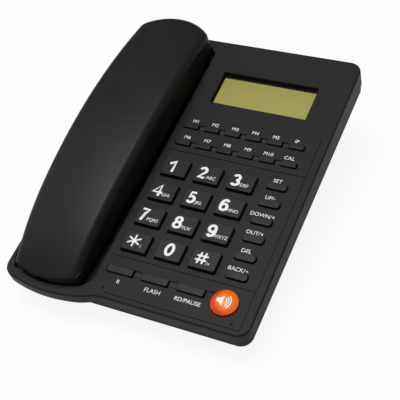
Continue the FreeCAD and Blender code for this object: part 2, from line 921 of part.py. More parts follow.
def make_key_board():
    """The circuit board behind the key mat."""
    piece = Piece("key_board")
    top = "matTop - matThickness"
    plate = piece.sketch(f"{top} - boardThickness")
    add_span(plate, "boardLeft", "boardRight", "boardFront", "boardBack", "2")
    piece.pad(plate, "boardThickness - partGap")
    holes = piece.sketch()
    for x, y in BOARD_SCREWS:
        add_ring(holes, x, y, "boardScrewRadius + partGap")
    piece.pocket(holes, "20")
    return keep("key_board", put_in_panel(piece.body))


def make_display():
    """The display window in its recess and the display module under the ledge."""
    window = Piece("display_window")
    pane = window.sketch("-displayDepth - windowThickness")
    shrink = "2 * partGap"
    size = (f"displayWidth - {shrink}", f"displayLength - {shrink}")
    add_box(pane, "displayCentreX", "displayCentreY", *size)
    window.pad(pane, "windowThickness")
    keep("display_window", put_in_panel(window.body))
    module = Piece("display_module")
    bed = "-displayDepth - windowThickness - ledgeThickness"
    cell = module.sketch(f"{bed} - moduleThickness")
    size = (f"displayWidth - {shrink}", f"displayLength - {shrink}")
    add_box(cell, "displayCentreX", "displayCentreY", *size)
    module.pad(cell, "moduleThickness - partGap")
    keep("display_module", put_in_panel(module.body))


def plan_loop(inset):
    """The outline of the handset seen from above, as corners of a loop, inset from the outer form."""
    front = f"handsetFrontHalf - {inset}"
    back = f"handsetBackHalf - {inset}"
    return [
        (f"handsetAxis - ({front})", f"handsetFront + {inset}", "handsetFrontSag"),
        (f"handsetAxis + ({front})", f"handsetFront + {inset}", "handsetSideSag"),
        (f"handsetAxis + ({back})", f"handsetBack - {inset}", "handsetBackSag"),
        (f"handsetAxis - ({back})", f"handsetBack - {inset}", "handsetSideSag"),
    ]


def round_corners(piece, inset, end):
    """Round the two upright corners at one end of a form that was raised from the handset's outline."""
    half = f"handset{end}Half - {inset}"
    y = f"handsetFront + {inset}" if end == "Front" else f"handsetBack - {inset}"
    for side in ("-", "+"):
        place = near(f"handsetAxis {side} ({half})", y)
        piece.round_edges(both(upright(), place), f"handsetCorner{end} - {inset}")


def handset_form(name, inset):
    """The handset above its seam as a solid: its outline raised, and all above its crowned back cut away."""
    piece = Piece(name)
    outline = piece.sketch("handsetSeam - 20")
    add_loop(outline, plan_loop(inset))
    piece.pad(outline, "50")
    round_corners(piece, inset, "Back")
    profile = piece.sketch("handsetAxis", "YZ_Plane")
    add_loop(
        profile,
        [
            ("ridgeFrontAt - 12", f"ridgeFront - 3 - {inset}"),
            ("ridgeFrontAt", f"ridgeFront - {inset}", "-ridgeShoulderSag"),
            ("ridgeShoulderAt", f"ridgeShoulder - {inset}", "-ridgeArchSag"),
            ("ridgeBackAt", f"ridgeBack - {inset}"),
            ("ridgeBackAt + 6", f"ridgeBack - {inset}"),
            ("ridgeBackAt + 6", "60"),
            ("ridgeFrontAt - 12", "60"),
        ],
    )
    piece.turn(profile, "ridgePeak - crownRadius", False, "30", "Groove")
    behind = number("ridgeFrontAt") + 12
    above = number("handsetSeam") - 10
    shoulder = near("handsetAxis", "ridgeShoulderAt", 8)
    piece.round_edges(
        lambda edge: edge.BoundBox.ZMin > above
        and edge.BoundBox.YMax > behind
        and not upright(1e-2)(edge)
        and not shoulder(edge),
        f"handsetEdgeRadius - {inset}",
    )
    below = piece.sketch("handsetSeam")
    add_box(below, "handsetAxis", "0", "120", "260")
    piece.pocket(below, "40")
    return piece


def make_handset_upper_shell():
    """The handset's upper shell: the crowned form, hollowed, with two screw bosses under its roof."""
    outer = handset_form("grip_outer", "0")
    inner = handset_form("grip_inner", "handsetWall")
    bosses = Piece("grip_bosses")
    rings = bosses.sketch("handsetBossTop + partGap")
    pilots = Piece("grip_pilots")
    holes = pilots.sketch("handsetBossTop - 1")
    for y in ("handsetScrewFront", "handsetScrewBack"):
        add_ring(rings, "handsetAxis", y, "handsetBossRadius")
        add_ring(holes, "handsetAxis", y, "screwRadius + partGap")
    bosses.pad(rings, "30")
    pilots.pad(holes, "9")
    trimmed = overlap("grip_bosses_trimmed", [bosses.body, outer.body])
    hollow = carve("grip_hollow", outer.body, [inner.body])
    whole = join("grip_whole", [hollow, trimmed])
    return keep("handset_upper_shell", put_in_panel(carve("grip_cut", whole, [pilots.body])))


def make_handset_lower_shell():
    """The handset's lower shell: its rim, a cup at each end, the raised grip plate and two screw bosses."""
    piece = Piece("handset_lower")
    outline = piece.sketch("handsetRest")
    add_loop(outline, plan_loop("0"))
    piece.pad(outline, "handsetSeam - handsetRest")
    round_corners(piece, "0", "Back")
    round_corners(piece, "0", "Front")
    grip = piece.sketch("handsetAxis", "YZ_Plane")
    add_loop(
        grip,
        [
            ("gripFront - gripSlope", "handsetRest - 0.1"),
            ("gripBack + gripSlope", "handsetRest - 0.1"),
            ("gripBack", "handsetRest + gripRaise"),
            ("gripFront", "handsetRest + gripRaise"),
        ],
    )
    piece.pocket(grip, "90", both=True)
    cups = (("ear", "earCupFront", "earCupBack"), ("mouth", "mouthCupFront", "mouthCupBack"))
    for cup, low, high in cups:
        wall = piece.sketch(f"-{cup}CupDepth")
        half = f"{cup}CupHalf"
        add_span(wall, f"handsetAxis - {half}", f"handsetAxis + {half}", low, high, "cupCorner")
        piece.pad(wall, f"{cup}CupDepth + handsetRest + 1")
        piece.round_edges(at_level(f"-{cup}CupDepth"), "1")
    for cup, low, high in cups:
        hollow = piece.sketch("handsetSeam")
        half = f"{cup}CupHalf - cupWall"
        add_span(
            hollow,
            f"handsetAxis - ({half})",
            f"handsetAxis + ({half})",
            f"{low} + cupWall",
            f"{high} - cupWall",
            "cupCorner - cupWall",
        )
        piece.pocket(hollow, f"handsetSeam + {cup}CupDepth - cupWall")
    screws = ("handsetScrewFront", "handsetScrewBack")
    bosses = piece.sketch("handsetSeam - 0.5")
    for y in screws:
        add_ring(bosses, "handsetAxis", y, "handsetBossRadius")
    piece.pad(bosses, "handsetBossTop - handsetSeam + 0.5")
    heads = piece.sketch("handsetRest")
    shafts = piece.sketch("handsetRest")
    for y in screws:
        add_ring(heads, "handsetAxis", y, "screwHeadRadius + 2 * partGap")
        add_ring(shafts, "handsetAxis", y, "screwRadius + partGap")
    piece.pocket(heads, "gripRaise + screwHeadHeight + 0.4", up=True)
    piece.pocket(shafts, "20", up=True)
    sound = piece.sketch("-earCupDepth")
    add_ring(sound, "handsetAxis", "receiverY", "soundHoleRadius")
    for k in range(6):
        across = f"soundHolePitch * cos({60 * k})"
        along = f"soundHolePitch * sin({60 * k})"
        add_ring(sound, f"handsetAxis + {across}", f"receiverY + {along}", "soundHoleRadius")
    piece.pocket(sound, "cupWall + 1", up=True)
    voice = piece.sketch("-mouthCupDepth")
    for k in (-1, 0, 1):
        add_ring(voice, f"microphoneX + {k} * 2.6", "microphoneY", "soundHoleRadius")
    piece.pocket(voice, "cupWall + 1", up=True)
    side = "handsetPortWidth / 2 + 0.2"
    port = piece.sketch("handsetPortBottom + handsetPortHeight + 0.2")
    add_span(
        port,
        f"handsetPortX - ({side})",
        f"handsetPortX + {side}",
        "mouthCupFront - 1",
        "mouthCupFront + cupWall + 0.5",
    )
    piece.pocket(port, "handsetPortHeight + 0.4")
    notch = piece.sketch("handsetRest")
    add_span(
        notch,
        f"handsetPortX - ({side})",
        f"handsetPortX + {side}",
        "handsetFront - handsetFrontSag - 1",
        "mouthCupFront",
    )
    piece.pocket(notch, "notchHeight", up=True)
    return keep("handset_lower_shell", put_in_panel(piece.body))


def make_inner_handset_parts():
    """What sits inside the handset: receiver, microphone, weight and cord socket."""
    receiver = Piece("receiver")
    ring = receiver.sketch("-earCupDepth + cupWall + partGap")
    add_ring(ring, "handsetAxis", "receiverY", "receiverRadius")
    receiver.pad(ring, "receiverHeight")
    core = receiver.sketch("-earCupDepth + cupWall + partGap + receiverHeight")
    add_ring(core, "handsetAxis", "receiverY", "receiverRadius * 0.55")
    receiver.pad(core, "2.4")
    keep("receiver_capsule", put_in_panel(receiver.body))
    microphone = Piece("microphone")
    ring = microphone.sketch("-mouthCupDepth + cupWall + partGap")
    add_ring(ring, "microphoneX", "microphoneY", "microphoneRadius")
    microphone.pad(ring, "microphoneHeight")
    keep("microphone_capsule", put_in_panel(microphone.body))
    socket = Piece("socket_in_handset")
    body = socket.sketch("-mouthCupDepth + cupWall + partGap")
    near_end = "mouthCupFront + cupWall + 2 * partGap"
    half = "handsetSocketWidth / 2"
    far_end = f"{near_end} + handsetSocketLength"
    add_span(body, f"handsetPortX - {half}", f"handsetPortX + {half}", near_end, far_end)
    socket.pad(body, "handsetSocketHeight")
    half = "handsetPortWidth / 2"
    port = socket.sketch("handsetPortBottom + handsetPortHeight")
    far_end = f"{near_end} + handsetPortDepth"
    add_span(port, f"handsetPortX - {half}", f"handsetPortX + {half}", f"{near_end} - 1", far_end)
    socket.pocket(port, "handsetPortHeight")
    keep("handset_socket", put_in_panel(socket.body))
    weight = Piece("weight")
    slab = weight.sketch("handsetSeam + partGap")
    middle = "(handsetScrewFront + handsetScrewBack) / 2"
    add_box(slab, "handsetAxis", middle, "weightWidth", "weightLength", "3")
    weight.pad(slab, "weightThickness")
    keep("handset_weight", put_in_panel(weight.body))


def screw_set(name, places, level, head_radius, head_height, shaft_radius, shaft_length, settle):
    """Several equal screws that point up from a level: a head with a slot in its underside, and a shaft."""
    screws = []
    for i, (x, y) in enumerate(places, start=1):
        piece = Piece(f"{name}_{i}")
        head = piece.sketch(level)
        add_ring(head, x, y, head_radius)
        piece.pad(head, head_height)
        shaft = piece.sketch(f"{level} + {head_height}")
        add_ring(shaft, x, y, shaft_radius)
        piece.pad(shaft, shaft_length)
        slot = piece.sketch(level)
        add_box(slot, x, y, f"{head_radius} * 1.5", "0.6")
        piece.pocket(slot, f"{head_height} / 2", up=True)
        screws.append(settle(piece.body))
    return keep(name, group(f"{name}_set", screws))


def make_screws():
    """The three sets of screws."""
    ends = [("handsetAxis", "handsetScrewFront"), ("handsetAxis", "handsetScrewBack")]
    level = "handsetRest + gripRaise + 0.3"
    screw_set(
        "handset_screws",
        ends,
        level,
        "screwHeadRadius",
        "screwHeadHeight",
        "screwRadius",
        "8.5",
        put_in_panel,
    )
    level = "matTop - matThickness - boardThickness - boardHeadHeight - partGap"
    screw_set(
        "board_screws",
        BOARD_SCREWS,
        level,
        "boardHeadRadius",
        "boardHeadHeight",
        "boardScrewRadius",
        "boardThickness + 3",
        put_in_panel,
    )
    corners = pairs(("caseScrewLeft", "caseScrewRight"), ("caseScrewFront", "caseScrewBack"))
    level = "-columnSeat - screwHeadHeight - partGap"
    screw_set(
        "case_screws",
        corners,
        level,
        "screwHeadRadius",
        "screwHeadHeight",
        "screwRadius",
        "columnSeat + 5",
        put_in_seam,
    )


def make_hook():
    """The hook plunger in the ear well, and the switch on the case floor under it."""
    piece = Piece("plunger")
    flange = piece.sketch("plungerFlangeTop - plungerFlange")
    add_box(flange, "plungerX", "plungerY", "plungerWidth + 3", "plungerLength + 3")
    piece.pad(flange, "plungerFlange")
    stem = piece.sketch("plungerBottom")
    add_box(stem, "plungerX", "plungerY", "plungerWidth", "plungerLength")
    piece.pad(stem, "plungerTop - plungerBottom")
    piece.round_edges(at_level("plungerTop"), "0.6")
    keep("hook_plunger", put_in_panel(piece.body))
    switch = Piece("switch")
    body = switch.sketch("-trayDepth + caseWall + partGap")
    add_box(body, "plungerX", "hookSwitchAt", "hookSwitchWidth", "hookSwitchLength")
    switch.pad(body, "hookSwitchHeight")
    dimple = switch.sketch("-trayDepth + caseWall + partGap + hookSwitchHeight")
    add_box(dimple, "plungerX", "hookSwitchAt", "hookSwitchWidth - 4", "hookSwitchLength - 3")
    switch.pocket(dimple, "0.4")
    keep("hook_switch", put_in_seam(switch.body))


def upright_prism(name, left, right, low, high, bottom, height, corner):
    """A box with rounded upright corners in the world frame."""
    piece = Piece(name)
    outline = piece.sketch(bottom)
    add_span(outline, left, right, low, high, corner)
    piece.pad(outline, height)
    return piece.body


def make_tray(name, inset, depth, edge):
    """The shallow tray under the seam as a solid."""
    piece = Piece(name)
    outline = piece.sketch()
    half = f"caseWidth / 2 - trayInset - {inset}"
    corner = f"caseCornerRadius - trayInset - {inset}"
    add_span(outline, f"-({half})", half, f"trayFront + {inset}", f"trayBack - {inset}", corner)
    piece.pad(outline, depth, down=True)
    if edge:
        piece.round_edges(at_level(f"-({depth})"), edge)
    return put_in_seam(piece.body)


def make_lower_case():
    """The lower case: a tray below the seam on an upright pedestal, with columns, bay, ports and recesses."""
    tray = make_tray("tray_outer", "0", "trayDepth", "trayBevel")
    half = "pedestalHalf"
    raised = upright_prism(
        "pedestal_outer",
        f"-{half}",
        half,
        "pedestalFront",
        "pedestalBack",
        "footLift",
        "60",
        "pedestalCorner",
    )
    inside = "pedestalCorner - caseWall"
    wall = "caseWall"
    well = upright_prism(
        "pedestal_inner",
        f"-{half} + {wall}",
        f"{half} - {wall}",
        f"pedestalFront + {wall}",
        f"pedestalBack - {wall}",
        "pedestalFloor",
        "80",
        inside,
    )
    below_floor = slab_in_seam("below_tray_floor", "-trayDepth + caseWall / 2", "80", True)
    below = slab_in_seam("below_seam_again", "1", "80", True)
    outer = join("lower_outer", [tray, overlap("pedestal_under_tray", [raised, below_floor])])
    hollow_tray = make_tray("tray_inner", "caseWall", "trayDepth - caseWall", None)
    shell = carve("lower_shell", outer, [hollow_tray, overlap("pedestal_hollow", [well, below])])
    columns = rings_in_seam("lower_columns", "lowerColumnRadius", "trayDepth - 0.5", "-trayDepth + 0.5")
    whole_tray = make_tray("tray_again", "0", "trayDepth", "trayBevel")
    clipped = overlap("lower_columns_clipped", [columns, whole_tray])
    floor = "pedestalFloor - 0.5"
    posts = [
        drum(f"board_post_{i}", x, y, floor, "boardPostRadius", f"mainBoardBottom - partGap - ({floor})")
        for i, (x, y) in enumerate(
            pairs(("-boardPostX", "boardPostX"), ("boardPostFront", "boardPostBack")), start=1
        )
    ]
    bay = block(
        "bay_block",
        "-bayHalf - bayWall",
        "bayHalf + bayWall",
        "cellY - cellLength / 2 - 1.5 - bayWall",
        "cellY + cellLength / 2 + 1.5 + bayWall",
        floor,
        "bayTop + 1.4",
    )
    track_front = "doorFront - 2"
    track = block("door_track", "-doorHalf - 2", "doorHalf + 2", track_front, "pedestalBack - 1", floor, "5.6")
    whole = join("lower_whole", [shell, clipped, bay, track] + posts)
    cuts = [
        rings_in_seam(
            "head_recesses",
            "screwHeadRadius + 2 * partGap",
            "trayDepth - columnSeat + 1",
            "-trayDepth - 1",
        ),
        rings_in_seam("column_bores", "screwRadius + 2 * partGap", "30", "-20"),
        block(
            "bay_hollow",
            "-bayHalf",
            "bayHalf",
            "cellY - cellLength / 2 - 1.5",
            "cellY + cellLength / 2 + 1.5",
            "footLift - 1",
            "bayTop",
        ),
        block(
            "door_slide",
            "-doorHalf - 0.3",
            "doorHalf + 0.3",
            "doorFront",
            "pedestalBack + 1",
            "footLift + doorLip",
            "3.9",
        ),
        block(
            "door_slot",
            "-doorHalf - 0.3 + doorLedge",
            "doorHalf + 0.3 - doorLedge",
            "doorFront",
            "pedestalBack + 1",
            "footLift - 1",
            "footLift + doorLip + 0.1",
        ),
        block(
            "line_port_hole",
            "lineSocketX - linePortWidth / 2 - 0.3",
            "lineSocketX + linePortWidth / 2 + 0.3",
            "pedestalBack - caseWall - 0.1",
            "pedestalBack + 1",
            "linePortBottom - 0.3",
            "linePortBottom + linePortHeight + 0.3",
        ),
        block(
            "cord_port_hole",
            "-pedestalHalf - 1",
            "-pedestalHalf + caseWall + 0.1",
            "cordSocketY - cordPortWidth / 2 - 0.3",
            "cordSocketY + cordPortWidth / 2 + 0.3",
            "cordPortBottom - 0.3",
            "cordPortBottom + cordPortHeight + 0.3",
        ),
        block(
            "ringer_slot",
            "-pedestalHalf - 1",
            "-pedestalHalf + caseWall + 0.1",
            "ringerY - ringerTravel / 2 - ringerKnobLength / 2 - 0.3",
            "ringerY + ringerTravel / 2 + ringerKnobLength / 2 + 0.3",
            "ringerSlotBottom",
            "ringerSlotBottom + ringerKnobHeight + 0.6",
        ),
    ]
    for i, (x, y) in enumerate(foot_places(), start=1):
        cuts.append(drum(f"foot_recess_{i}", x, y, "footLift - 1", "footRadius + 0.2", "footRecess + 1"))
    for i in range(-3, 4):
        x = f"loudspeakerX + {i} * grilleSlotPitch"
        cuts.append(
            block(
                f"grille_slot_{i + 4}",
                f"{x} - grilleSlotWidth / 2",
                f"{x} + grilleSlotWidth / 2",
                "loudspeakerY - 15",
                "loudspeakerY + 15",
                "footLift - 1",
                "pedestalFloor + 1",
            )
        )
    return keep("lower_case", carve("lower_cut", whole, cuts))


def foot_places():
    """The four places of the rubber feet."""
    return [(x, y) for x in ("-footX", "footX") for y in ("footFront", "footBack")]


def make_base_fittings():
    """What sits in the lower case, and the feet and the battery door under it."""
    feet = [
        drum(f"foot_{i}", x, y, "0", "footRadius", "footHeight")
        for i, (x, y) in enumerate(foot_places(), start=1)
    ]
    keep("rubber_feet", group("feet", feet))
    cells = [
        drum(
            f"cell_{i + 2}",
            f"{i} * cellPitch",
            "cellY - cellLength / 2",
            "cellHeight",
            "cellRadius",
            "cellLength",
            "+Y",
        )
        for i in (-1, 0, 1)
    ]
    tips = [
        drum(
            f"cell_tip_{i + 2}",
            f"{i} * cellPitch",
            "cellY + cellLength / 2 - 1",
            "cellHeight",
            "1.8",
            "1.9",
            "+Y",
        )
        for i in (-1, 0, 1)
    ]
    whole = [join(f"cell_whole_{i}", [can, tip]) for i, (can, tip) in enumerate(zip(cells, tips))]
    keep("battery_cells", group("cells", whole))
    door_low = "doorFront + 0.3"
    plate = block(
        "door_plate",
        "-doorHalf + doorLedge + 0.3",
        "doorHalf - doorLedge - 0.3",
        door_low,
        "pedestalBack",
        "footLift",
        "footLift + doorThickness - 0.2",
    )
    tongue = block(
        "door_tongue",
        "-doorHalf",
        "doorHalf",
        door_low,
        "pedestalBack",
        "footLift + doorLip + 0.2",
        "footLift + doorThickness - 0.2",
    )
    grips = [
        block(
            f"door_grip_{i}",
            "-6",
            "6",
            f"pedestalBack - 4 - {2 * i}",
            f"pedestalBack - 3 - {2 * i}",
            "footLift - 0.1",
            "footLift + 0.5",
        )
        for i in range(4)
    ]
    keep("battery_door", carve("door", join("door_whole", [plate, tongue]), grips))
    place = ("loudspeakerX", "loudspeakerY", "loudspeakerBottom")
    speaker = join(
        "speaker",
        [
            drum("speaker_frame", *place, "loudspeakerRadius", "4"),
            drum("speaker_magnet", *place, "loudspeakerRadius * 0.5", "loudspeakerHeight"),
        ],
    )
    keep("loudspeaker", speaker)
    line_body = block(
        "line_body",
        "lineSocketX - socketWidth / 2",
        "lineSocketX + socketWidth / 2",
        "pedestalBack - caseWall - 2 * partGap - socketLength",
        "pedestalBack - caseWall - 2 * partGap",
        "pedestalFloor + partGap",
        "socketTop",
    )
    line_hole = block(
        "line_hole",
        "lineSocketX - linePortWidth / 2",
        "lineSocketX + linePortWidth / 2",
        "pedestalBack - caseWall - 2 * partGap - linePortDepth",
        "pedestalBack",
        "linePortBottom",
        "linePortBottom + linePortHeight",
    )
    keep("line_socket", carve("line_socket_cut", line_body, [line_hole]))
    cord_face = "-pedestalHalf + caseWall + 2 * partGap"
    cord_body = block(
        "cord_body",
        cord_face,
        f"{cord_face} + cordSocketDepth",
        "cordSocketY - cordSocketHalf",
        "cordSocketY + cordSocketHalf",
        "pedestalFloor + partGap",
        "pedestalFloor + cordSocketHeight",
    )
    cord_hole = block(
        "cord_hole",
        f"{cord_face} - 1",
        f"{cord_face} + cordPortDepth",
        "cordSocketY - cordPortWidth / 2",
        "cordSocketY + cordPortWidth / 2",
        "cordPortBottom",
        "cordPortBottom + cordPortHeight",
    )
    keep("base_handset_socket", carve("cord_socket_cut", cord_body, [cord_hole]))


def make_ringer():
    """The ringer switch on the main board and its slide knob in the slot of the left wall."""
    inside = "-pedestalHalf + caseWall"
    knob_y = "ringerY - ringerTravel / 2"
    top = "mainBoardBottom + boardThickness"
    neck = block(
        "ringer_neck",
        "-pedestalHalf - ringerKnobReach",
        f"{inside} + 0.6",
        f"{knob_y} - ringerKnobLength / 2",
        f"{knob_y} + ringerKnobLength / 2",
        "ringerSlotBottom + 0.3",
        "ringerSlotBottom + 0.3 + ringerKnobHeight",
    )
    flange = block(
        "ringer_flange",
        f"{inside} + 0.3",
        f"{inside} + 1.3",
        f"{knob_y} - ringerKnobLength / 2 - 3.2",
        f"{knob_y} + ringerKnobLength / 2 + 3.2",
        f"{top} + 0.3",
        "ringerSlotBottom + ringerKnobHeight + 1.6",
    )
    keep("ringer_slide_knob", join("ringer_knob", [neck, flange]))
    body = block(
        "ringer_body",
        f"{inside} + 1.6",
        f"{inside} + 1.6 + ringerBodyDepth",
        "ringerY - ringerLength / 2",
        "ringerY + ringerLength / 2",
        f"{top} + partGap",
        f"{top} + ringerHeight",
    )
    keep("ringer_switch", body)


def make_main_board():
    """The main circuit board on its four posts, with the components on its top."""
    bottom = "mainBoardBottom"
    top = "mainBoardBottom + boardThickness"
    ends = ("mainBoardFront", "mainBoardBack")
    plate = block("main_plate", "-mainBoardHalf", "mainBoardHalf", *ends, bottom, top)
    chips = [
        block(f"board_chip_{i}", left, right, low, high, f"{top} - 0.2", f"{top} + {height}")
        for i, (left, right, low, high, height) in enumerate(
            [
                ("-12", "6", "18", "30", "2.4"),
                ("14", "30", "12", "22", "2.4"),
                ("18", "34", "44", "58", "9"),
            ],
            start=1,
        )
    ]
    cans = [
        drum(f"board_can_{i}", x, y, f"{top} - 0.2", radius, height)
        for i, (x, y, radius, height) in enumerate(
            [("-24", "50", "4", "9.2"), ("-13", "54", "4", "9.2"), ("40", "16", "3.2", "8.2")], start=1
        )
    ]
    whole = join("main_board_whole", [plate] + chips + cans)
    bores = [
        drum(f"post_bore_{i}", x, y, f"{bottom} - 1", "0.9", "boardThickness + 2")
        for i, (x, y) in enumerate(
            pairs(("-boardPostX", "boardPostX"), ("boardPostFront", "boardPostBack")), start=1
        )
    ]
    keep("main_board", carve("main_board_cut", whole, bores))


def make_all():
    """Build every sub-part."""
    for label, (kind, x, y) in KEYS.items():
        make_cap(label, kind, x, y)
    make_speaker_key()
    print("keys done")
    make_key_mat()
    make_key_board()
    make_display()
    make_screws()
    make_hook()
    make_handset_lower_shell()
    make_inner_handset_parts()
    print("handset parts done")
    make_handset_upper_shell()
    print("handset upper shell done")
    make_lower_case()
    make_base_fittings()
    make_ringer()
    make_main_board()
    print("lower case done")
    make_upper_case()
    print("upper case done")


make_all()


def check_and_export():
    """Stop if anything in the document failed, then write every sub-part to its file."""
    doc.recompute()
    for thing in doc.Objects:
        if "Invalid" in thing.State or "Error" in thing.State:
            raise RuntimeError(f"{thing.Name} failed: {thing.State}")
    for label, thing in NODES.items():
        shape = thing.Shape
        if shape.isNull() or not shape.isValid() or not shape.Solids:
            raise RuntimeError(f"{label} has no valid solid")
        shape.exportStep(f"parts/{label}.step")
    print(f"{len(NODES)} sub-parts written")


check_and_export()
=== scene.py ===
import logging
import math
from dataclasses import dataclass, field
from enum import Enum
from typing import Callable, Iterable, Mapping, Sequence

import bpy
from mathutils import Matrix, Vector


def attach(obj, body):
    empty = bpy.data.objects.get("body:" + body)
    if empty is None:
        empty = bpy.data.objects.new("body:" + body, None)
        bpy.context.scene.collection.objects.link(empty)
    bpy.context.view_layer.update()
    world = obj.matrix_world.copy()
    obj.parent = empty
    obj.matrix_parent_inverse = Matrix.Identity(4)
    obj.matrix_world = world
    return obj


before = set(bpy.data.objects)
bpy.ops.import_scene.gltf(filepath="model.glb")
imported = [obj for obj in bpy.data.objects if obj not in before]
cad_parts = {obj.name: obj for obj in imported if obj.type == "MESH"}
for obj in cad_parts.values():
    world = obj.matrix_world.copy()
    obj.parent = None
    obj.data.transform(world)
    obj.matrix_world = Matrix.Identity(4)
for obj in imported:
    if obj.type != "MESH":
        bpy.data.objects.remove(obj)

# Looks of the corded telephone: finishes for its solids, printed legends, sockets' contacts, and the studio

log = logging.getLogger("telephone")
MM = 0.001
Pair = tuple[float, float]
Triple = tuple[float, float, float]
Colour = Triple
WHITE = (1.0, 1.0, 1.0, 1.0)


class Body(Enum):
    """The rigid bodies that the added pieces ride on."""

    BASE = "base"
    HANDSET = "handset"
    SPEAKER_KEY = "handsfree_key"


@dataclass(frozen=True)
class PanelFrame:
    """The sloping key panel's frame in millimetres: X to the right, Y up the slope, Z square to it."""

    tilt: float = math.radians(10.0)
    shift: float = -1.38
    height: float = 40.67

    def matrix(self) -> Matrix:
        """Return the matrix from panel millimetres to metres in the part's frame."""
        place = Matrix.Translation((0.0, self.shift * MM, self.height * MM))
        return place @ Matrix.Rotation(self.tilt, 4, "X") @ Matrix.Scale(MM, 4)

    def point(self, across: float, along: float, above: float) -> Vector:
        """Return a panel point in metres in the part's frame.

        Args:
            across: millimetres to the right.
            along: millimetres up the slope.
            above: millimetres square to the panel.

        Returns:
            The point in the part's frame.
        """
        return self.matrix() @ Vector((across, along, above))

    def direction(self, across: float, along: float, above: float) -> Vector:
        """Return a panel direction turned into the part's frame."""
        return Matrix.Rotation(self.tilt, 3, "X") @ Vector((across, along, above))


PANEL = PanelFrame()
ROUND_KEY: Pair = (58.2, -81.1)


# Shader maths


class Wire:
    """A socket of a material's node tree, with arithmetic that adds Math nodes."""

    def __init__(self, tree: bpy.types.NodeTree, socket: bpy.types.NodeSocket) -> None:
        """Wrap a socket."""
        self.tree = tree
        self.socket = socket

    def math(self, operation: str, *others: "Wire | float") -> "Wire":
        """Add a Math node that takes this wire first.

        Args:
            operation: the Math node's operation.
            others: the further inputs, wires or numbers.

        Returns:
            The node's result.
        """
        node = self.tree.nodes.new("ShaderNodeMath")
        node.operation = operation
        for slot, value in zip(node.inputs, (self, *others)):
            feed(self.tree, slot, value)
        return Wire(self.tree, node.outputs[0])

    def __add__(self, other: "Wire | float") -> "Wire":
        """Add."""
        return self.math("ADD", other)

    __radd__ = __add__

    def __mul__(self, other: "Wire | float") -> "Wire":
        """Multiply."""
        return self.math("MULTIPLY", other)

    __rmul__ = __mul__

    def __sub__(self, other: "Wire | float") -> "Wire":
        """Subtract."""
        return self.math("SUBTRACT", other)

    def __rsub__(self, other: float) -> "Wire":
        """Subtract from a number."""
        return (self * -1.0) + other

    def __abs__(self) -> "Wire":
        """Drop the sign."""
        return self.math("ABSOLUTE")

    def __lt__(self, other: "Wire | float") -> "Wire":
        """Give one where this is smaller."""
        return self.math("LESS_THAN", other)


def feed(tree: bpy.types.NodeTree, slot: bpy.types.NodeSocket, value: object) -> None:
    """Give a socket a wire or a plain value.

    Args:
        tree: the material's node tree.
        slot: the input to fill.
        value: a Wire, a number or a tuple.
    """
    if isinstance(value, Wire):
        tree.links.new(value.socket, slot)
    else:
        slot.default_value = value


class Nodes:
    """A node tree in the making."""

    def __init__(self, tree: bpy.types.NodeTree) -> None:
        """Take a tree and empty it."""
        self.tree = tree
        self.tree.nodes.clear()

    def add(self, kind: str, settings: Mapping, inputs: Mapping) -> bpy.types.Node:
        """Add any node.

        Args:
            kind: the node's type.
            settings: its properties, set first.
            inputs: its sockets by name or number, with wires or values.

        Returns:
            The node.
        """
        made = self.tree.nodes.new(kind)
        for key, value in settings.items():
            setattr(made, key, value)
        for key, value in inputs.items():
            feed(self.tree, made.inputs[key], value)
        return made

    def node(self, kind: str, settings: Mapping, inputs: Mapping, output: str | int = 0) -> Wire:
        """Add any node, as add does, and return one of its outputs as a wire."""
        return Wire(self.tree, self.add(kind, settings, inputs).outputs[output])


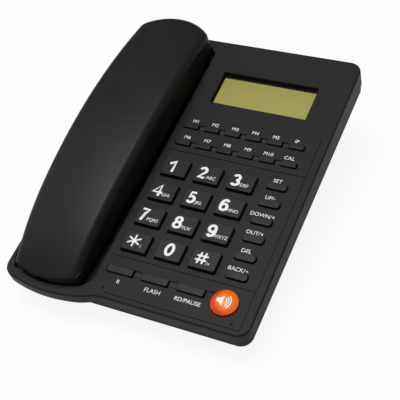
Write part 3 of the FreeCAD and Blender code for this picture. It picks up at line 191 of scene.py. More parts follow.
class Recipe(Nodes):
    """One material in the making: its node tree and its surface shader."""

    MIX_FIRST = 6
    MIX_SECOND = 7
    MIX_RESULT = 2

    def __init__(self, name: str) -> None:
        """Start a material with one Principled shader."""
        self.material = bpy.data.materials.new(name)
        self.material.use_nodes = True
        super().__init__(self.material.node_tree)
        self.surface = self.add("ShaderNodeBsdfPrincipled", {}, {})
        self.end = self.add("ShaderNodeOutputMaterial", {}, {})
        self.finish_with(Wire(self.tree, self.surface.outputs[0]))
        self.place = self.node("ShaderNodeTexCoord", {}, {}, "Object")

    def finish_with(self, shader: Wire) -> None:
        """Let a shader be the material's surface."""
        feed(self.tree, self.end.inputs["Surface"], shader)

    def noise(self, scale: float, detail: float = 2.0, roughness: float = 0.5) -> Wire:
        """Return a noise over the piece, at a scale in cells per metre."""
        values = {"Vector": self.place, "Scale": scale, "Detail": detail, "Roughness": roughness}
        return self.node("ShaderNodeTexNoise", {}, values)

    def ramp(self, value: Wire, stops: Sequence[tuple[float, Colour]]) -> Wire:
        """Return a colour from a value.

        Args:
            value: what is looked up.
            stops: places and linear colours, in order.

        Returns:
            The colour.
        """
        made = self.add("ShaderNodeValToRGB", {}, {0: value})
        while len(made.color_ramp.elements) < len(stops):
            made.color_ramp.elements.new(0.5)
        for element, (place, colour) in zip(made.color_ramp.elements, stops):
            element.position = place
            element.color = (*colour, 1.0)
        return Wire(self.tree, made.outputs[0])

    def blend(self, share: Wire, first: Wire | Colour, second: Wire | Colour) -> Wire:
        """Return a mix of two colours by a share."""
        colours = [value if isinstance(value, Wire) else (*value, 1.0) for value in (first, second)]
        values = {"Factor": share, self.MIX_FIRST: colours[0], self.MIX_SECOND: colours[1]}
        return self.node("ShaderNodeMix", {"data_type": "RGBA"}, values, self.MIX_RESULT)

    def bump(self, height: Wire, depth: float) -> None:
        """Roughen the surface by a height that is given in shares of a depth in metres."""
        values = {"Height": height, "Distance": depth, "Strength": 1.0}
        self.set(Normal=self.node("ShaderNodeBump", {}, values))

    def set(self, **values: object) -> None:
        """Set the shader's sockets; an underscore in a name stands for a space."""
        for name, value in values.items():
            feed(self.tree, self.surface.inputs[name.replace("_", " ")], value)

    def panel_place(self) -> tuple[Wire, Wire]:
        """Return the across and along coordinates in the panel frame, in metres."""
        parts = self.add("ShaderNodeSeparateXYZ", {}, {0: self.place})
        across, back, up = (Wire(self.tree, part) for part in parts.outputs)
        run = (back - PANEL.shift * MM) * math.cos(PANEL.tilt)
        rise = (up - PANEL.height * MM) * math.sin(PANEL.tilt)
        return across, run + rise


def linear(red: float, green: float, blue: float) -> Colour:
    """Turn a colour of 0 to 255 as seen into the linear one that shaders take."""
    seen = (red / 255.0, green / 255.0, blue / 255.0)
    return tuple(c / 12.92 if c <= 0.04045 else ((c + 0.055) / 1.055) ** 2.4 for c in seen)


def scaled(colour: Colour, share: float) -> Colour:
    """Return a lighter or darker colour."""
    return tuple(min(1.0, c * share) for c in colour)


# Finishes


@dataclass(frozen=True)
class MouldedPlastic:
    """Black moulded plastic: a fine spark-eroded grain, faint mottling and slightly uneven gloss."""

    name: str
    colour: Colour
    roughness: float = 0.5
    grain_scale: float = 2600.0
    grain_depth: float = 0.00004
    grain_gloss: float = 0.08
    mottle_scale: float = 45.0
    patch_scale: float = 110.0
    patch_gloss: float = 0.06
    specular: float = 0.18

    def make(self) -> bpy.types.Material:
        """Build the material."""
        recipe = Recipe(self.name)
        stops = [(0.3, scaled(self.colour, 0.9)), (0.7, scaled(self.colour, 1.12))]
        recipe.set(Base_Color=recipe.ramp(recipe.noise(self.mottle_scale, 3.0), stops))
        grain = recipe.noise(self.grain_scale, 3.0, 0.6)
        patches = recipe.noise(self.patch_scale)
        middle = (self.grain_gloss + self.patch_gloss) / 2
        uneven = patches * self.patch_gloss + grain * self.grain_gloss
        recipe.set(Roughness=uneven + (self.roughness - middle), Specular_IOR_Level=self.specular)
        recipe.bump(grain, self.grain_depth)
        return recipe.material


@dataclass(frozen=True)
class KeyPlastic:
    """Satin key plastic with a very fine grain and faint mottling."""

    name: str
    colour: Colour
    roughness: float = 0.42
    grain_scale: float = 3800.0
    grain_depth: float = 0.00002
    grain_gloss: float = 0.1
    mottle_scale: float = 160.0
    specular: float = 0.25

    def make(self) -> bpy.types.Material:
        """Build the material."""
        recipe = Recipe(self.name)
        stops = [(0.3, scaled(self.colour, 0.92)), (0.7, scaled(self.colour, 1.1))]
        recipe.set(Base_Color=recipe.ramp(recipe.noise(self.mottle_scale, 3.0), stops))
        grain = recipe.noise(self.grain_scale)
        recipe.set(Roughness=grain * self.grain_gloss + (self.roughness - self.grain_gloss / 2))
        recipe.set(Specular_IOR_Level=self.specular)
        recipe.bump(grain, self.grain_depth)
        return recipe.material


@dataclass(frozen=True)
class OrangeKey:
    """Orange plastic, pale in the middle and deeper in colour towards its rim."""

    name: str = "orange_key_plastic"
    middle: Colour = linear(252, 138, 34)
    ring: Colour = linear(246, 108, 16)
    rim: Colour = linear(216, 62, 14)
    radius: float = 8.0
    lean_right: float = 0.22
    lean_up: float = 0.1
    mottle_scale: float = 300.0
    mottle_share: float = 0.12
    grain_scale: float = 2500.0
    grain_depth: float = 0.00001

    def make(self) -> bpy.types.Material:
        """Build the material, its pale middle leaning to the right and up the slope."""
        recipe = Recipe(self.name)
        across, along = recipe.panel_place()
        per_radius = 1.0 / (self.radius * MM)
        right = (across - ROUND_KEY[0] * MM) * per_radius
        up = (along - ROUND_KEY[1] * MM) * per_radius
        reach = (right * right + up * up).math("SQRT")
        share = reach + recipe.noise(self.mottle_scale) * self.mottle_share
        share = share - right * self.lean_right - up * self.lean_up
        stops = [(0.4, self.middle), (0.8, self.ring), (1.0, self.rim)]
        recipe.set(Base_Color=recipe.ramp(share, stops))
        grain = recipe.noise(self.grain_scale)
        recipe.set(Roughness=grain * 0.08 + 0.3, Specular_IOR_Level=0.3)
        recipe.bump(grain, self.grain_depth)
        return recipe.material


@dataclass(frozen=True)
class DisplayGlass:
    """The display seen through its clear window: a yellow-green field inside a black border, a printed
    bezel widened along the top into painted shadow of the recess's top wall.
    """

    name: str = "display_glass"
    field_low: Colour = linear(172, 166, 96)
    field_high: Colour = linear(162, 156, 88)
    # Black round the field: printed bezel at the sides and bottom, and the wider band along the top is
    # painted shadow of the recess's top wall
    border_and_wall_shadow: Colour = linear(16, 16, 15)
    centre: Pair = (24.7, 64.5)
    size: Pair = (62.5, 22.7)
    cell_scale: float = 900.0

    def make(self) -> bpy.types.Material:
        """Build the material."""
        recipe = Recipe(self.name)
        across, along = recipe.panel_place()
        wide, high = (side * MM for side in self.size)
        inside_x = abs(across - self.centre[0] * MM) < wide / 2
        inside_y = abs(along - self.centre[1] * MM) < high / 2
        cells = recipe.noise(self.cell_scale)
        share = (along - (self.centre[1] * MM - high / 2)) * (1.0 / high) + cells * 0.1
        lit = recipe.ramp(share, [(0.0, self.field_low), (1.0, self.field_high)])
        # Outside the field the black border, including the painted wall shadow along the top
        recipe.set(Base_Color=recipe.blend(inside_x * inside_y, self.border_and_wall_shadow, lit))
        recipe.set(Roughness=cells * 0.05 + 0.35, Specular_IOR_Level=0.15)
        return recipe.material


@dataclass(frozen=True)
class PrintedInk:
    """White screen-printed ink, slightly uneven."""

    name: str
    colour: Colour
    cover_scale: float = 1500.0

    def make(self) -> bpy.types.Material:
        """Build the material."""
        recipe = Recipe(self.name)
        cover = recipe.noise(self.cover_scale, 3.0)
        recipe.set(Base_Color=recipe.ramp(cover, [(0.25, scaled(self.colour, 0.93)), (0.6, self.colour)]))
        recipe.set(Roughness=cover * 0.2 + 0.4)
        return recipe.material


@dataclass(frozen=True)
class SoftRubber:
    """Matt rubber with a powdery unevenness."""

    name: str
    colour: Colour
    dust_scale: float = 220.0
    grain_scale: float = 1800.0
    grain_depth: float = 0.00005

    def make(self) -> bpy.types.Material:
        """Build the material."""
        recipe = Recipe(self.name)
        dust = recipe.noise(self.dust_scale, 4.0)
        recipe.set(Base_Color=recipe.ramp(dust, [(0.3, self.colour), (0.75, scaled(self.colour, 1.5))]))
        recipe.set(Roughness=dust * 0.2 + 0.7, Specular_IOR_Level=0.3)
        recipe.bump(recipe.noise(self.grain_scale, 3.0), self.grain_depth)
        return recipe.material


@dataclass(frozen=True)
class BareMetal:
    """Plated or bare metal with a fine grain and a few dull patches."""

    name: str
    colour: Colour
    roughness: float
    patch_scale: float = 400.0
    patch_gloss: float = 0.18
    grain_scale: float = 3000.0
    grain_depth: float = 0.00001

    def make(self) -> bpy.types.Material:
        """Build the material."""
        recipe = Recipe(self.name)
        patches = recipe.noise(self.patch_scale, 3.0)
        recipe.set(Base_Color=recipe.ramp(patches, [(0.3, scaled(self.colour, 0.85)), (0.7, self.colour)]))
        recipe.set(Metallic=1.0, Roughness=patches * self.patch_gloss + (self.roughness - 0.05))
        recipe.bump(recipe.noise(self.grain_scale), self.grain_depth)
        return recipe.material


@dataclass(frozen=True)
class CircuitBoard:
    """Green lacquered board with paler tracks."""

    name: str = "circuit_board"
    lacquer: Colour = linear(24, 84, 44)
    track: Colour = linear(46, 122, 66)
    track_scale: float = 260.0
    track_share: float = 0.06

    def make(self) -> bpy.types.Material:
        """Build the material."""
        recipe = Recipe(self.name)
        values = {"Vector": recipe.place, "Scale": self.track_scale}
        edges = recipe.node("ShaderNodeTexVoronoi", {"feature": "DISTANCE_TO_EDGE"}, values)
        recipe.set(Base_Color=recipe.blend(edges < self.track_share, self.lacquer, self.track))
        recipe.set(Roughness=recipe.noise(500.0) * 0.1 + 0.3)
        return recipe.material


class Finishes:
    """All the materials of the telephone, made once."""

    def __init__(self) -> None:
        """Build them."""
        self.case = MouldedPlastic("case_plastic", linear(34, 34, 34)).make()
        self.lower = MouldedPlastic("lower_case_plastic", linear(33, 33, 33), roughness=0.55).make()
        self.handset = MouldedPlastic(
            "handset_plastic",
            linear(31, 31, 31),
            roughness=0.42,
            grain_scale=2200.0,
            grain_depth=0.00003,
        ).make()
        self.keys = KeyPlastic("key_plastic", linear(30, 32, 31)).make()
        self.orange = OrangeKey().make()
        self.display = DisplayGlass().make()
        self.ink = PrintedInk("white_ink", linear(252, 252, 250)).make()
        self.rubber = SoftRubber("foot_rubber", linear(34, 34, 35)).make()
        self.mat = SoftRubber("key_mat_rubber", linear(120, 120, 122)).make()
        self.board = CircuitBoard().make()
        self.steel = BareMetal("screw_steel", linear(176, 178, 182), roughness=0.32).make()
        self.web = MouldedPlastic("web_plastic", linear(66, 66, 68), roughness=0.45).make()
        self.iron = BareMetal("weight_iron", linear(90, 88, 86), roughness=0.55).make()
        self.gold = BareMetal("contact_gold", linear(224, 178, 92), roughness=0.22).make()
        self.dark = MouldedPlastic("inner_plastic", linear(24, 24, 25), roughness=0.6).make()
        self.cloth = SoftRubber("speaker_cloth", linear(20, 20, 21)).make()


# Modelling helpers


def deselect() -> None:
    """Leave every object unselected and the mode at Object."""
    if bpy.context.object is not None and bpy.context.object.mode != "OBJECT":
        bpy.ops.object.mode_set(mode="OBJECT")
    bpy.ops.object.select_all(action="DESELECT")


def pick(*objects: bpy.types.Object) -> None:
    """Select some objects and make the first one active."""
    deselect()
    for thing in objects:
        thing.select_set(True)
    bpy.context.view_layer.objects.active = objects[0]


def dress(piece: bpy.types.Object, material: bpy.types.Material) -> None:
    """Give every face of a piece one material."""
    piece.data.materials.clear()
    piece.data.materials.append(material)


def settle(piece: bpy.types.Object, matrix: Matrix) -> None:
    """Move a piece's place into its mesh and leave its object at the origin.

    Args:
        piece: the mesh object.
        matrix: where the mesh goes, from the object's own place.
    """
    piece.data.transform(matrix @ piece.matrix_basis)
    piece.matrix_basis = Matrix.Identity(4)


def merge(name: str, pieces: Sequence[bpy.types.Object]) -> bpy.types.Object:
    """Join several mesh objects into one that has a new name."""
    pick(*pieces)
    if len(pieces) > 1:
        bpy.ops.object.join()
    whole = bpy.context.view_layer.objects.active
    whole.name = name
    whole.data.name = name
    return whole


def select_faces(piece: bpy.types.Object, test: Callable[[bpy.types.MeshPolygon], bool]) -> None:
    """Go into edit mode with only the faces selected that pass a test."""
    pick(piece)
    bpy.ops.object.mode_set(mode="EDIT")
    bpy.ops.mesh.select_mode(type="FACE")
    bpy.ops.mesh.select_all(action="DESELECT")
    bpy.ops.object.mode_set(mode="OBJECT")
    for face in piece.data.polygons:
        face.select = test(face)
    bpy.ops.object.mode_set(mode="EDIT")


def select_edges(piece: bpy.types.Object, test: Callable[[list[Vector]], bool]) -> None:
    """Go into edit mode with only the edges selected whose two ends pass a test."""
    pick(piece)
    bpy.ops.object.mode_set(mode="EDIT")
    bpy.ops.mesh.select_mode(type="EDGE")
    bpy.ops.mesh.select_all(action="DESELECT")
    bpy.ops.object.mode_set(mode="OBJECT")
    for edge in piece.data.edges:
        edge.select = test([piece.data.vertices[i].co for i in edge.vertices])
    bpy.ops.object.mode_set(mode="EDIT")


def finish_edit() -> None:
    """Leave edit mode."""
    bpy.ops.object.mode_set(mode="OBJECT")


def apply_modifier(piece: bpy.types.Object, kind: str, **settings: object) -> None:
    """Add a modifier to a piece and apply it at once.

    Args:
        piece: the mesh object.
        kind: the modifier's type.
        settings: its properties.
    """
    pick(piece)
    modifier = piece.modifiers.new(kind.lower(), kind)
    for key, value in settings.items():
        setattr(modifier, key, value)
    bpy.ops.object.modifier_apply(modifier=modifier.name)


def tube(name: str, points: Iterable[Vector], radius: float) -> bpy.types.Object:
    """Return a round wire along points as a mesh.

    Args:
        name: the new object's name.
        points: the points of its middle line.
        radius: its radius, in the same unit.

    Returns:
        The mesh object.
    """
    deselect()
    places = list(points)
    bpy.ops.curve.primitive_nurbs_path_add(location=(0.0, 0.0, 0.0))
    made = bpy.context.view_layer.objects.active
    made.name = name
    curve = made.data
    curve.splines.clear()
    spline = curve.splines.new("POLY")
    spline.points.add(len(places) - 1)
    for spot, place in zip(spline.points, places):
        spot.co = (*place, 1.0)
    curve.bevel_depth = radius
    curve.bevel_resolution = 2
    curve.use_fill_caps = True
    bpy.ops.object.convert(target="MESH")
    return bpy.context.view_layer.objects.active


# Printed legends

OVAL_STEP = 12


def oval(across: float, along: float, wide: float, high: float, start: float, end: float) -> list[Vector]:
    """Return points along part of an oval.

    Args:
        across: the middle's place to the right.
        along: the middle's place upwards.
        wide: the half width.
        high: the half height.
        start: the first angle in degrees, anticlockwise from the right.
        end: the last angle in degrees.

    Returns:
        The points.
    """
    steps = max(4, round(abs(end - start) / OVAL_STEP))
    turns = [math.radians(start + (end - start) * i / steps) for i in range(steps + 1)]
    return [Vector((across + wide * math.cos(t), along + high * math.sin(t), 0.0)) for t in turns]


def line(*corners: tuple[float, float]) -> list[Vector]:
    """Return the corners of a line of straight runs."""
    return [Vector((across, along, 0.0)) for across, along in corners]


def spokes(across: float, along: float, reach: float, count: int) -> list[list[Vector]]:
    """Return lines that cross in one middle."""
    turns = [math.pi / 2 + math.pi * i / count for i in range(count)]
    arms = [Vector((math.cos(t), math.sin(t), 0.0)) * reach for t in turns]
    middle = Vector((across, along, 0.0))
    return [[middle - arm, middle + arm] for arm in arms]


# Middle lines of the figures, in shares of their height; a closed oval runs a little past its start
FIGURE_STROKES = {
    "0": [oval(0.32, 0.5, 0.22, 0.4, 90, 457)],
    "1": [line((0.08, 0.66), (0.28, 0.77), (0.44, 0.92), (0.44, 0.0))],
    "2": [oval(0.31, 0.67, 0.2, 0.23, 165, -30) + line((0.12, 0.1), (0.54, 0.1))],
    "3": [oval(0.3, 0.7, 0.19, 0.2, 160, -90), oval(0.3, 0.3, 0.22, 0.2, 90, -160)],
    "4": [line((0.5, 0.0), (0.5, 0.9), (0.06, 0.3), (0.7, 0.3))],
    "5": [line((0.51, 0.9), (0.2, 0.9), (0.14, 0.5)) + oval(0.31, 0.35, 0.21, 0.25, 130, -155)],
    "6": [oval(0.34, 0.5, 0.24, 0.4, 45, 180) + oval(0.32, 0.34, 0.21, 0.24, 180, 540)],
    "7": [line((0.1, 0.9), (0.54, 0.9), (0.38, 0.6), (0.25, 0.0))],
    "8": [oval(0.32, 0.71, 0.18, 0.19, 90, 457), oval(0.32, 0.31, 0.22, 0.21, 90, 457)],
    "9": [oval(0.3, 0.5, 0.24, 0.4, 225, 360) + oval(0.32, 0.66, 0.21, 0.24, 0, 360)],
    "*": spokes(0.5, 0.5, 0.46, 3),
    "#": [
        line((0.28, 0.08), (0.34, 0.92)),
        line((0.58, 0.08), (0.64, 0.92)),
        line((0.08, 0.34), (0.8, 0.34)),
        line((0.12, 0.66), (0.84, 0.66)),
    ],
}


@dataclass
class Legend:
    """One printed word or figure on the panel or on a key."""

    words: str
    across: float
    along: float
    height: float
    slant: float = 0.02
    stroke: float = 0.2
    widest: float = 30.0


@dataclass
class Printing:
    """Makes printed legends: text turned into thin meshes that lie on a surface."""

    ink: bpy.types.Material
    thickness: float = 0.05
    clearance: float = 0.01
    figure_stretch: float = 1.08
    capital_share: float = field(init=False, default=1.0)

    def __post_init__(self) -> None:
        """Measure how high a capital is in a text of size one."""
        probe = self.flat_text(Legend("H", 0.0, 0.0, 1.0))
        heights = [v.co.y for v in probe.data.vertices]
        self.capital_share = max(heights) - min(heights)
        bpy.data.objects.remove(probe)

    def flat_text(self, legend: Legend) -> bpy.types.Object:
        """Return a legend as a flat mesh in millimetres, centred on its place.

        Args:
            legend: the words and their place.

        Returns:
            The mesh object, with its place in its mesh.
        """
        deselect()
        bpy.ops.object.text_add(location=(0.0, 0.0, 0.0))
        made = bpy.context.view_layer.objects.active
        text = made.data
        text.body = legend.words
        text.align_x = "CENTER"
        text.align_y = "BOTTOM_BASELINE"
        text.size = legend.height / self.capital_share
        text.resolution_u = 4
        text.extrude = self.thickness / 2
        bpy.ops.object.convert(target="MESH")
        return self.centre(bpy.context.view_layer.objects.active, legend)

    def figure(self, legend: Legend) -> bpy.types.Object:
        """Return a large figure, drawn with strokes of one width, as a flat mesh centred on its place.

        Args:
            legend: the figure and its place.

        Returns:
            The mesh object, with its place in its mesh.
        """
        strokes = FIGURE_STROKES[legend.words]
        radius = legend.stroke / 2 * legend.height
        parts = [tube("stroke", [spot * legend.height for spot in stroke], radius) for stroke in strokes]
        made = merge("figure", parts)
        made.data.transform(Matrix.Diagonal((self.figure_stretch, 1.0, self.thickness / 2 / radius, 1.0)))
        return self.centre(made, legend)

    def centre(self, made: bpy.types.Object, legend: Legend) -> bpy.types.Object:
        """Slant a flat mesh, narrow it to its widest allowed width and centre it on its legend's place."""
        slant = Matrix.Identity(4)
        slant[0][1] = legend.slant
        made.data.transform(slant)
        left = min(v.co.x for v in made.data.vertices)
        right = max(v.co.x for v in made.data.vertices)
        share = min(1.0, legend.widest / (right - left))
        made.data.transform(Matrix.Diagonal((share, 1.0, 1.0, 1.0)))
        place = (legend.across - share * (left + right) / 2, legend.along - legend.height / 2, 0.0)
        made.data.transform(Matrix.Translation(place))
        return made

    def lay(self, name: str, legends: Sequence[Legend], level: float, body: str) -> None:
        """Print several legends at one level of the panel frame as one piece.

        Args:
            name: the piece's name.
            legends: what is printed.
            level: the surface's height in the panel frame, in millimetres.
            body: the body that it rides on.
        """
        parts = [
            self.figure(legend) if legend.words in FIGURE_STROKES else self.flat_text(legend)
            for legend in legends
        ]
        piece = merge(name, parts)
        lift = Matrix.Translation((0.0, 0.0, level + self.thickness / 2 + self.clearance))
        settle(piece, PANEL.matrix() @ lift)
        dress(piece, self.ink)
        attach(piece, body)
        log.info("printed %s", name)


@dataclass
class Keypad:
    """The keys and the legends on them and beside them."""

    finishes: Finishes
    first_column: float = -5.86
    column_pitch: float = 21.68
    first_row: float = -3.9
    row_pitch: float = 18.6
    dial_height: float = 2.8
    figure_height: float = 8.8
    figure_lift: float = 0.2
    letter_height: float = 2.15
    letter_drop: float = 2.5
    label_height: float = 2.45
    memory_label: Pair = (-9.3, 34.5)
    memory_pitch: Pair = (13.48, 13.15)
    function_label: Pair = (57.3, 3.65)
    function_pitch: float = 12.56
    line_label: Pair = (-5.6, -85.9)
    line_pitch: float = 21.7
    memory_words: tuple[tuple[str, ...], ...] = (
        ("M1", "M2", "M3", "M4", "M5", "IP"),
        ("M6", "M7", "M8", "M9", "M10", "CAL"),
    )
    function_words: tuple[str, ...] = ("SET", "UP/-", "DOWN/+", "OUT/×", "DEL", "BACK/÷")
    line_words: tuple[str, ...] = ("R", "FLASH", "RD/PAUSE")
    dial: tuple[tuple[str, str, str], ...] = (
        ("1", "1", ""),
        ("2", "2", "ABC"),
        ("3", "3", "DEF"),
        ("4", "4", "GHI"),
        ("5", "5", "JKL"),
        ("6", "6", "MNO"),
        ("7", "7", "PQRS"),
        ("8", "8", "TUV"),
        ("9", "9", "WXYZ"),
        ("star", "*", "/."),
        ("0", "0", ""),
        ("hash", "#", "/×"),
    )

    def figure_legend(self, figure: str, across: float, along: float) -> Legend:
        """Return a dial key's figure, beside the key's middle where letters follow it."""
        aside = {"0": -0.2, "1": -2.3, "5": -2.5, "*": -1.4, "#": -1.7}.get(figure, -3.3)
        stroke = 0.13 if figure in "*#" else 0.205
        return Legend(figure, across + aside, along + self.figure_lift, self.figure_height, stroke=stroke)

    def letter_legend(self, letters: str, across: float, along: float) -> Legend:
        """Return a dial key's letters, to the lower right of its figure."""
        aside = 3.9 if letters == "/." else 2.8
        widest = 9.3 if len(letters) == 4 else 7.8
        return Legend(letters, across + aside, along - self.letter_drop, self.letter_height, widest=widest)

    def print_dial(self, printing: Printing) -> None:
        """Print the figure and the letters on each dial key."""
        for i, (name, figure, letters) in enumerate(self.dial):
            across = self.first_column + (i % 3) * self.column_pitch
            along = self.first_row - (i // 3) * self.row_pitch
            legends = [self.figure_legend(figure, across, along)]
            if letters:
                legends.append(self.letter_legend(letters, across, along))
            printing.lay(f"dial_legend_{name}", legends, self.dial_height, f"dial_key_{name}")

    def print_labels(self, printing: Printing) -> None:
        """Print the words beside the small keys."""
        words = []
        across, along = self.memory_label
        column_pitch, row_pitch = self.memory_pitch
        for row, names in enumerate(self.memory_words):
            for column, word in enumerate(names):
                words.append((word, across + column * column_pitch, along - row * row_pitch))
        across, along = self.function_label
        for row, word in enumerate(self.function_words):
            words.append((word, across, along - row * self.function_pitch))
        across, along = self.line_label
        for column, word in enumerate(self.line_words):
            words.append((word, across + column * self.line_pitch, along))
        legends = [Legend(*word, self.label_height) for word in words]
        printing.lay("panel_legends", legends, 0.0, Body.BASE.value)

    def dress_keys(self, nodes: Mapping[str, bpy.types.Object]) -> None:
        """Give the keys their plastics."""
        for name, node in nodes.items():
            if "_key_" in name:
                dress(node, self.finishes.keys)
        dress(nodes["handsfree_key"], self.finishes.orange)


@dataclass
class SpeakerIcon:
    """The white loudspeaker sign on the round key: a cone and three sound waves, bent onto the dome."""

    finishes: Finishes
    dome_top: float = 3.3
    dome_radius: float = 16.1
    clearance: float = 0.02
    thickness: float = 0.06
    back_size: Pair = (1.5, 2.3)
    back_centre: float = -3.6
    horn_length: float = 2.5
    horn_flare: float = 2.7
    wave_radii: tuple[float, ...] = (2.4, 3.7, 5.0)
    wave_width: float = 0.62
    wave_centre: float = -0.9
    wave_angle: float = 96.0
    wave_steps: int = 14
    squeeze: float = 0.98

    def cone(self) -> bpy.types.Object:
        """Return the cone as a flat plate: a small square whose right edge is drawn out and widened."""
        deselect()
        bpy.ops.mesh.primitive_plane_add(size=1.0, location=(0.0, 0.0, 0.0))
        piece = bpy.context.view_layer.objects.active
        piece.scale = (*self.back_size, 1.0)
        bpy.ops.object.transform_apply(location=False, rotation=False, scale=True)
        piece.data.transform(Matrix.Translation((self.back_centre, 0.0, 0.0)))
        right = max(v.co.x for v in piece.data.vertices)
        select_edges(piece, lambda ends: all(abs(end.x - right) < 1e-5 for end in ends))
        bpy.ops.mesh.extrude_region_move(TRANSFORM_OT_translate={"value": (self.horn_length, 0.0, 0.0)})
        bpy.ops.transform.resize(value=(1.0, self.horn_flare, 1.0))
        bpy.ops.mesh.select_all(action="SELECT")
        bpy.ops.mesh.subdivide(number_cuts=3)
        finish_edit()
        return piece

    def wave(self, radius: float) -> bpy.types.Object:
        """Return one sound wave: the long edge of a sliver, spun round the cone's mouth.

        Args:
            radius: the wave's radius in millimetres.

        Returns:
            The flat mesh.
        """
        deselect()
        bpy.ops.mesh.primitive_plane_add(size=1.0, location=(0.0, 0.0, 0.0))
        piece = bpy.context.view_layer.objects.active
        piece.scale = (self.wave_width, 0.02, 1.0)
        bpy.ops.object.transform_apply(location=False, rotation=False, scale=True)
        turn = Matrix.Rotation(math.radians(self.wave_angle / 2), 4, "Z")
        piece.data.transform(turn @ Matrix.Translation((radius, 0.0, 0.0)))
        pick(piece)
        bpy.ops.object.mode_set(mode="EDIT")
        bpy.ops.mesh.select_mode(type="EDGE")
        bpy.ops.mesh.select_all(action="SELECT")
        bpy.ops.mesh.delete(type="ONLY_FACE")
        bpy.ops.mesh.select_all(action="DESELECT")
        bpy.ops.object.mode_set(mode="OBJECT")
        longest = max(piece.data.edges, key=lambda e: self.edge_length(piece, e))
        longest.select = True
        bpy.ops.object.mode_set(mode="EDIT")
        bpy.ops.mesh.spin(
            steps=self.wave_steps,
            angle=math.radians(self.wave_angle),
            center=(0.0, 0.0, 0.0),
            axis=(0.0, 0.0, 1.0),
        )
        bpy.ops.mesh.select_all(action="DESELECT")
        bpy.ops.mesh.select_loose()
        bpy.ops.mesh.delete(type="EDGE")
        finish_edit()
        return piece

    @staticmethod
    def edge_length(piece: bpy.types.Object, edge: bpy.types.MeshEdge) -> float:
        """Return an edge's length."""
        first, second = (piece.data.vertices[i].co for i in edge.vertices)
        return (first - second).length

    def bend(self, piece: bpy.types.Object) -> None:
        """Lay the flat sign on the key's dome, just clear of it."""
        for vertex in piece.data.vertices:
            vertex.co.x *= self.squeeze
            reach = vertex.co.x**2 + vertex.co.y**2
            sag = math.sqrt(self.dome_radius**2 - reach) - self.dome_radius
            vertex.co.z = self.dome_top + sag + self.clearance

    def build(self) -> None:
        """Build the sign, bend it onto the dome and let it ride on the key."""
        parts = [self.cone()] + [self.wave(radius) for radius in self.wave_radii]
        for part in parts[1:]:
            part.data.transform(Matrix.Translation((self.wave_centre, 0.0, 0.0)))
        piece = merge("handsfree_icon", parts)
        self.bend(piece)
        pick(piece)
        bpy.ops.object.mode_set(mode="EDIT")
        bpy.ops.mesh.select_all(action="SELECT")
        bpy.ops.mesh.remove_doubles(threshold=0.001)
        bpy.ops.mesh.normals_make_consistent(inside=False)
        finish_edit()
        if sum(face.normal.z for face in piece.data.polygons) < 0:
            piece.data.flip_normals()
        apply_modifier(piece, "SOLIDIFY", thickness=self.thickness, offset=1.0)
        settle(piece, PANEL.matrix() @ Matrix.Translation((*ROUND_KEY, 0.0)))
        dress(piece, self.finishes.ink)
        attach(piece, Body.SPEAKER_KEY.value)
        log.info("made %s", piece.name)


@dataclass
class SlotWebs:
    """The pairs of paler webs that cross a key row's slot between two keys."""

    finishes: Finishes
    floor: float = -0.7
    top: float = -0.12
    bar: float = 0.75
    crown: float = 0.06
    crown_inset: float = 0.12
    spread: float = 1.15
    memory_first: float = -10.2
    memory_pitch: float = 13.9
    memory_gap: float = 3.1
    memory_rows: Pair = (29.6, 16.0)
    line_first: float = -7.4
    line_pitch: float = 22.2
    line_gap: float = 4.4
    line_row: float = -79.1

    def bar_between(self, across: float, along: float, span: float) -> bpy.types.Object:
        """Return one web in panel millimetres: a bar whose top is drawn in, with softened edges.

        Args:
            across: the middle of the gap, to the right.
            along: the web's middle, up the slope.
            span: the web's length across the gap.

        Returns:
            The mesh object.
        """
        deselect()
        height = self.top - self.floor
        bpy.ops.mesh.primitive_cube_add(size=1.0, location=(0.0, 0.0, 0.0), scale=(span, self.bar, height))
        bpy.ops.object.transform_apply(location=False, rotation=False, scale=True)
        piece = bpy.context.view_layer.objects.active
        select_faces(piece, lambda face: face.normal.z > 0.9)
        bpy.ops.mesh.inset(thickness=self.crown_inset, depth=0.0)
        bpy.ops.transform.translate(value=(0.0, 0.0, self.crown))
        finish_edit()
        apply_modifier(piece, "BEVEL", width=0.06, segments=2)
        piece.data.transform(Matrix.Translation((across, along, self.floor + height / 2 - self.crown)))
        return piece

    def row(self, name: str, middles: Sequence[float], span: float, along: float) -> None:
        """Build the webs of one row.

        Args:
            name: the piece's name.
            middles: each gap's middle, to the right.
            span: the length of the webs.
            along: the row's middle, up the slope.
        """
        sides = (-self.spread / 2, self.spread / 2)
        bars = [self.bar_between(across, along + side, span) for across in middles for side in sides]
        piece = merge(name, bars)
        settle(piece, PANEL.matrix())
        dress(piece, self.finishes.web)
        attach(piece, Body.BASE.value)
        log.info("made %s", name)

    def build(self) -> None:
        """Build the webs of the three rows."""
        middles = [self.memory_first + self.memory_pitch * (i + 0.5) for i in range(5)]
        self.row("memory_webs_upper", middles, self.memory_gap, self.memory_rows[0])
        self.row("memory_webs_lower", middles, self.memory_gap, self.memory_rows[1])
        middles = [self.line_first + self.line_pitch * (i + 0.5) for i in range(2)]
        self.row("line_webs", middles, self.line_gap, self.line_row)


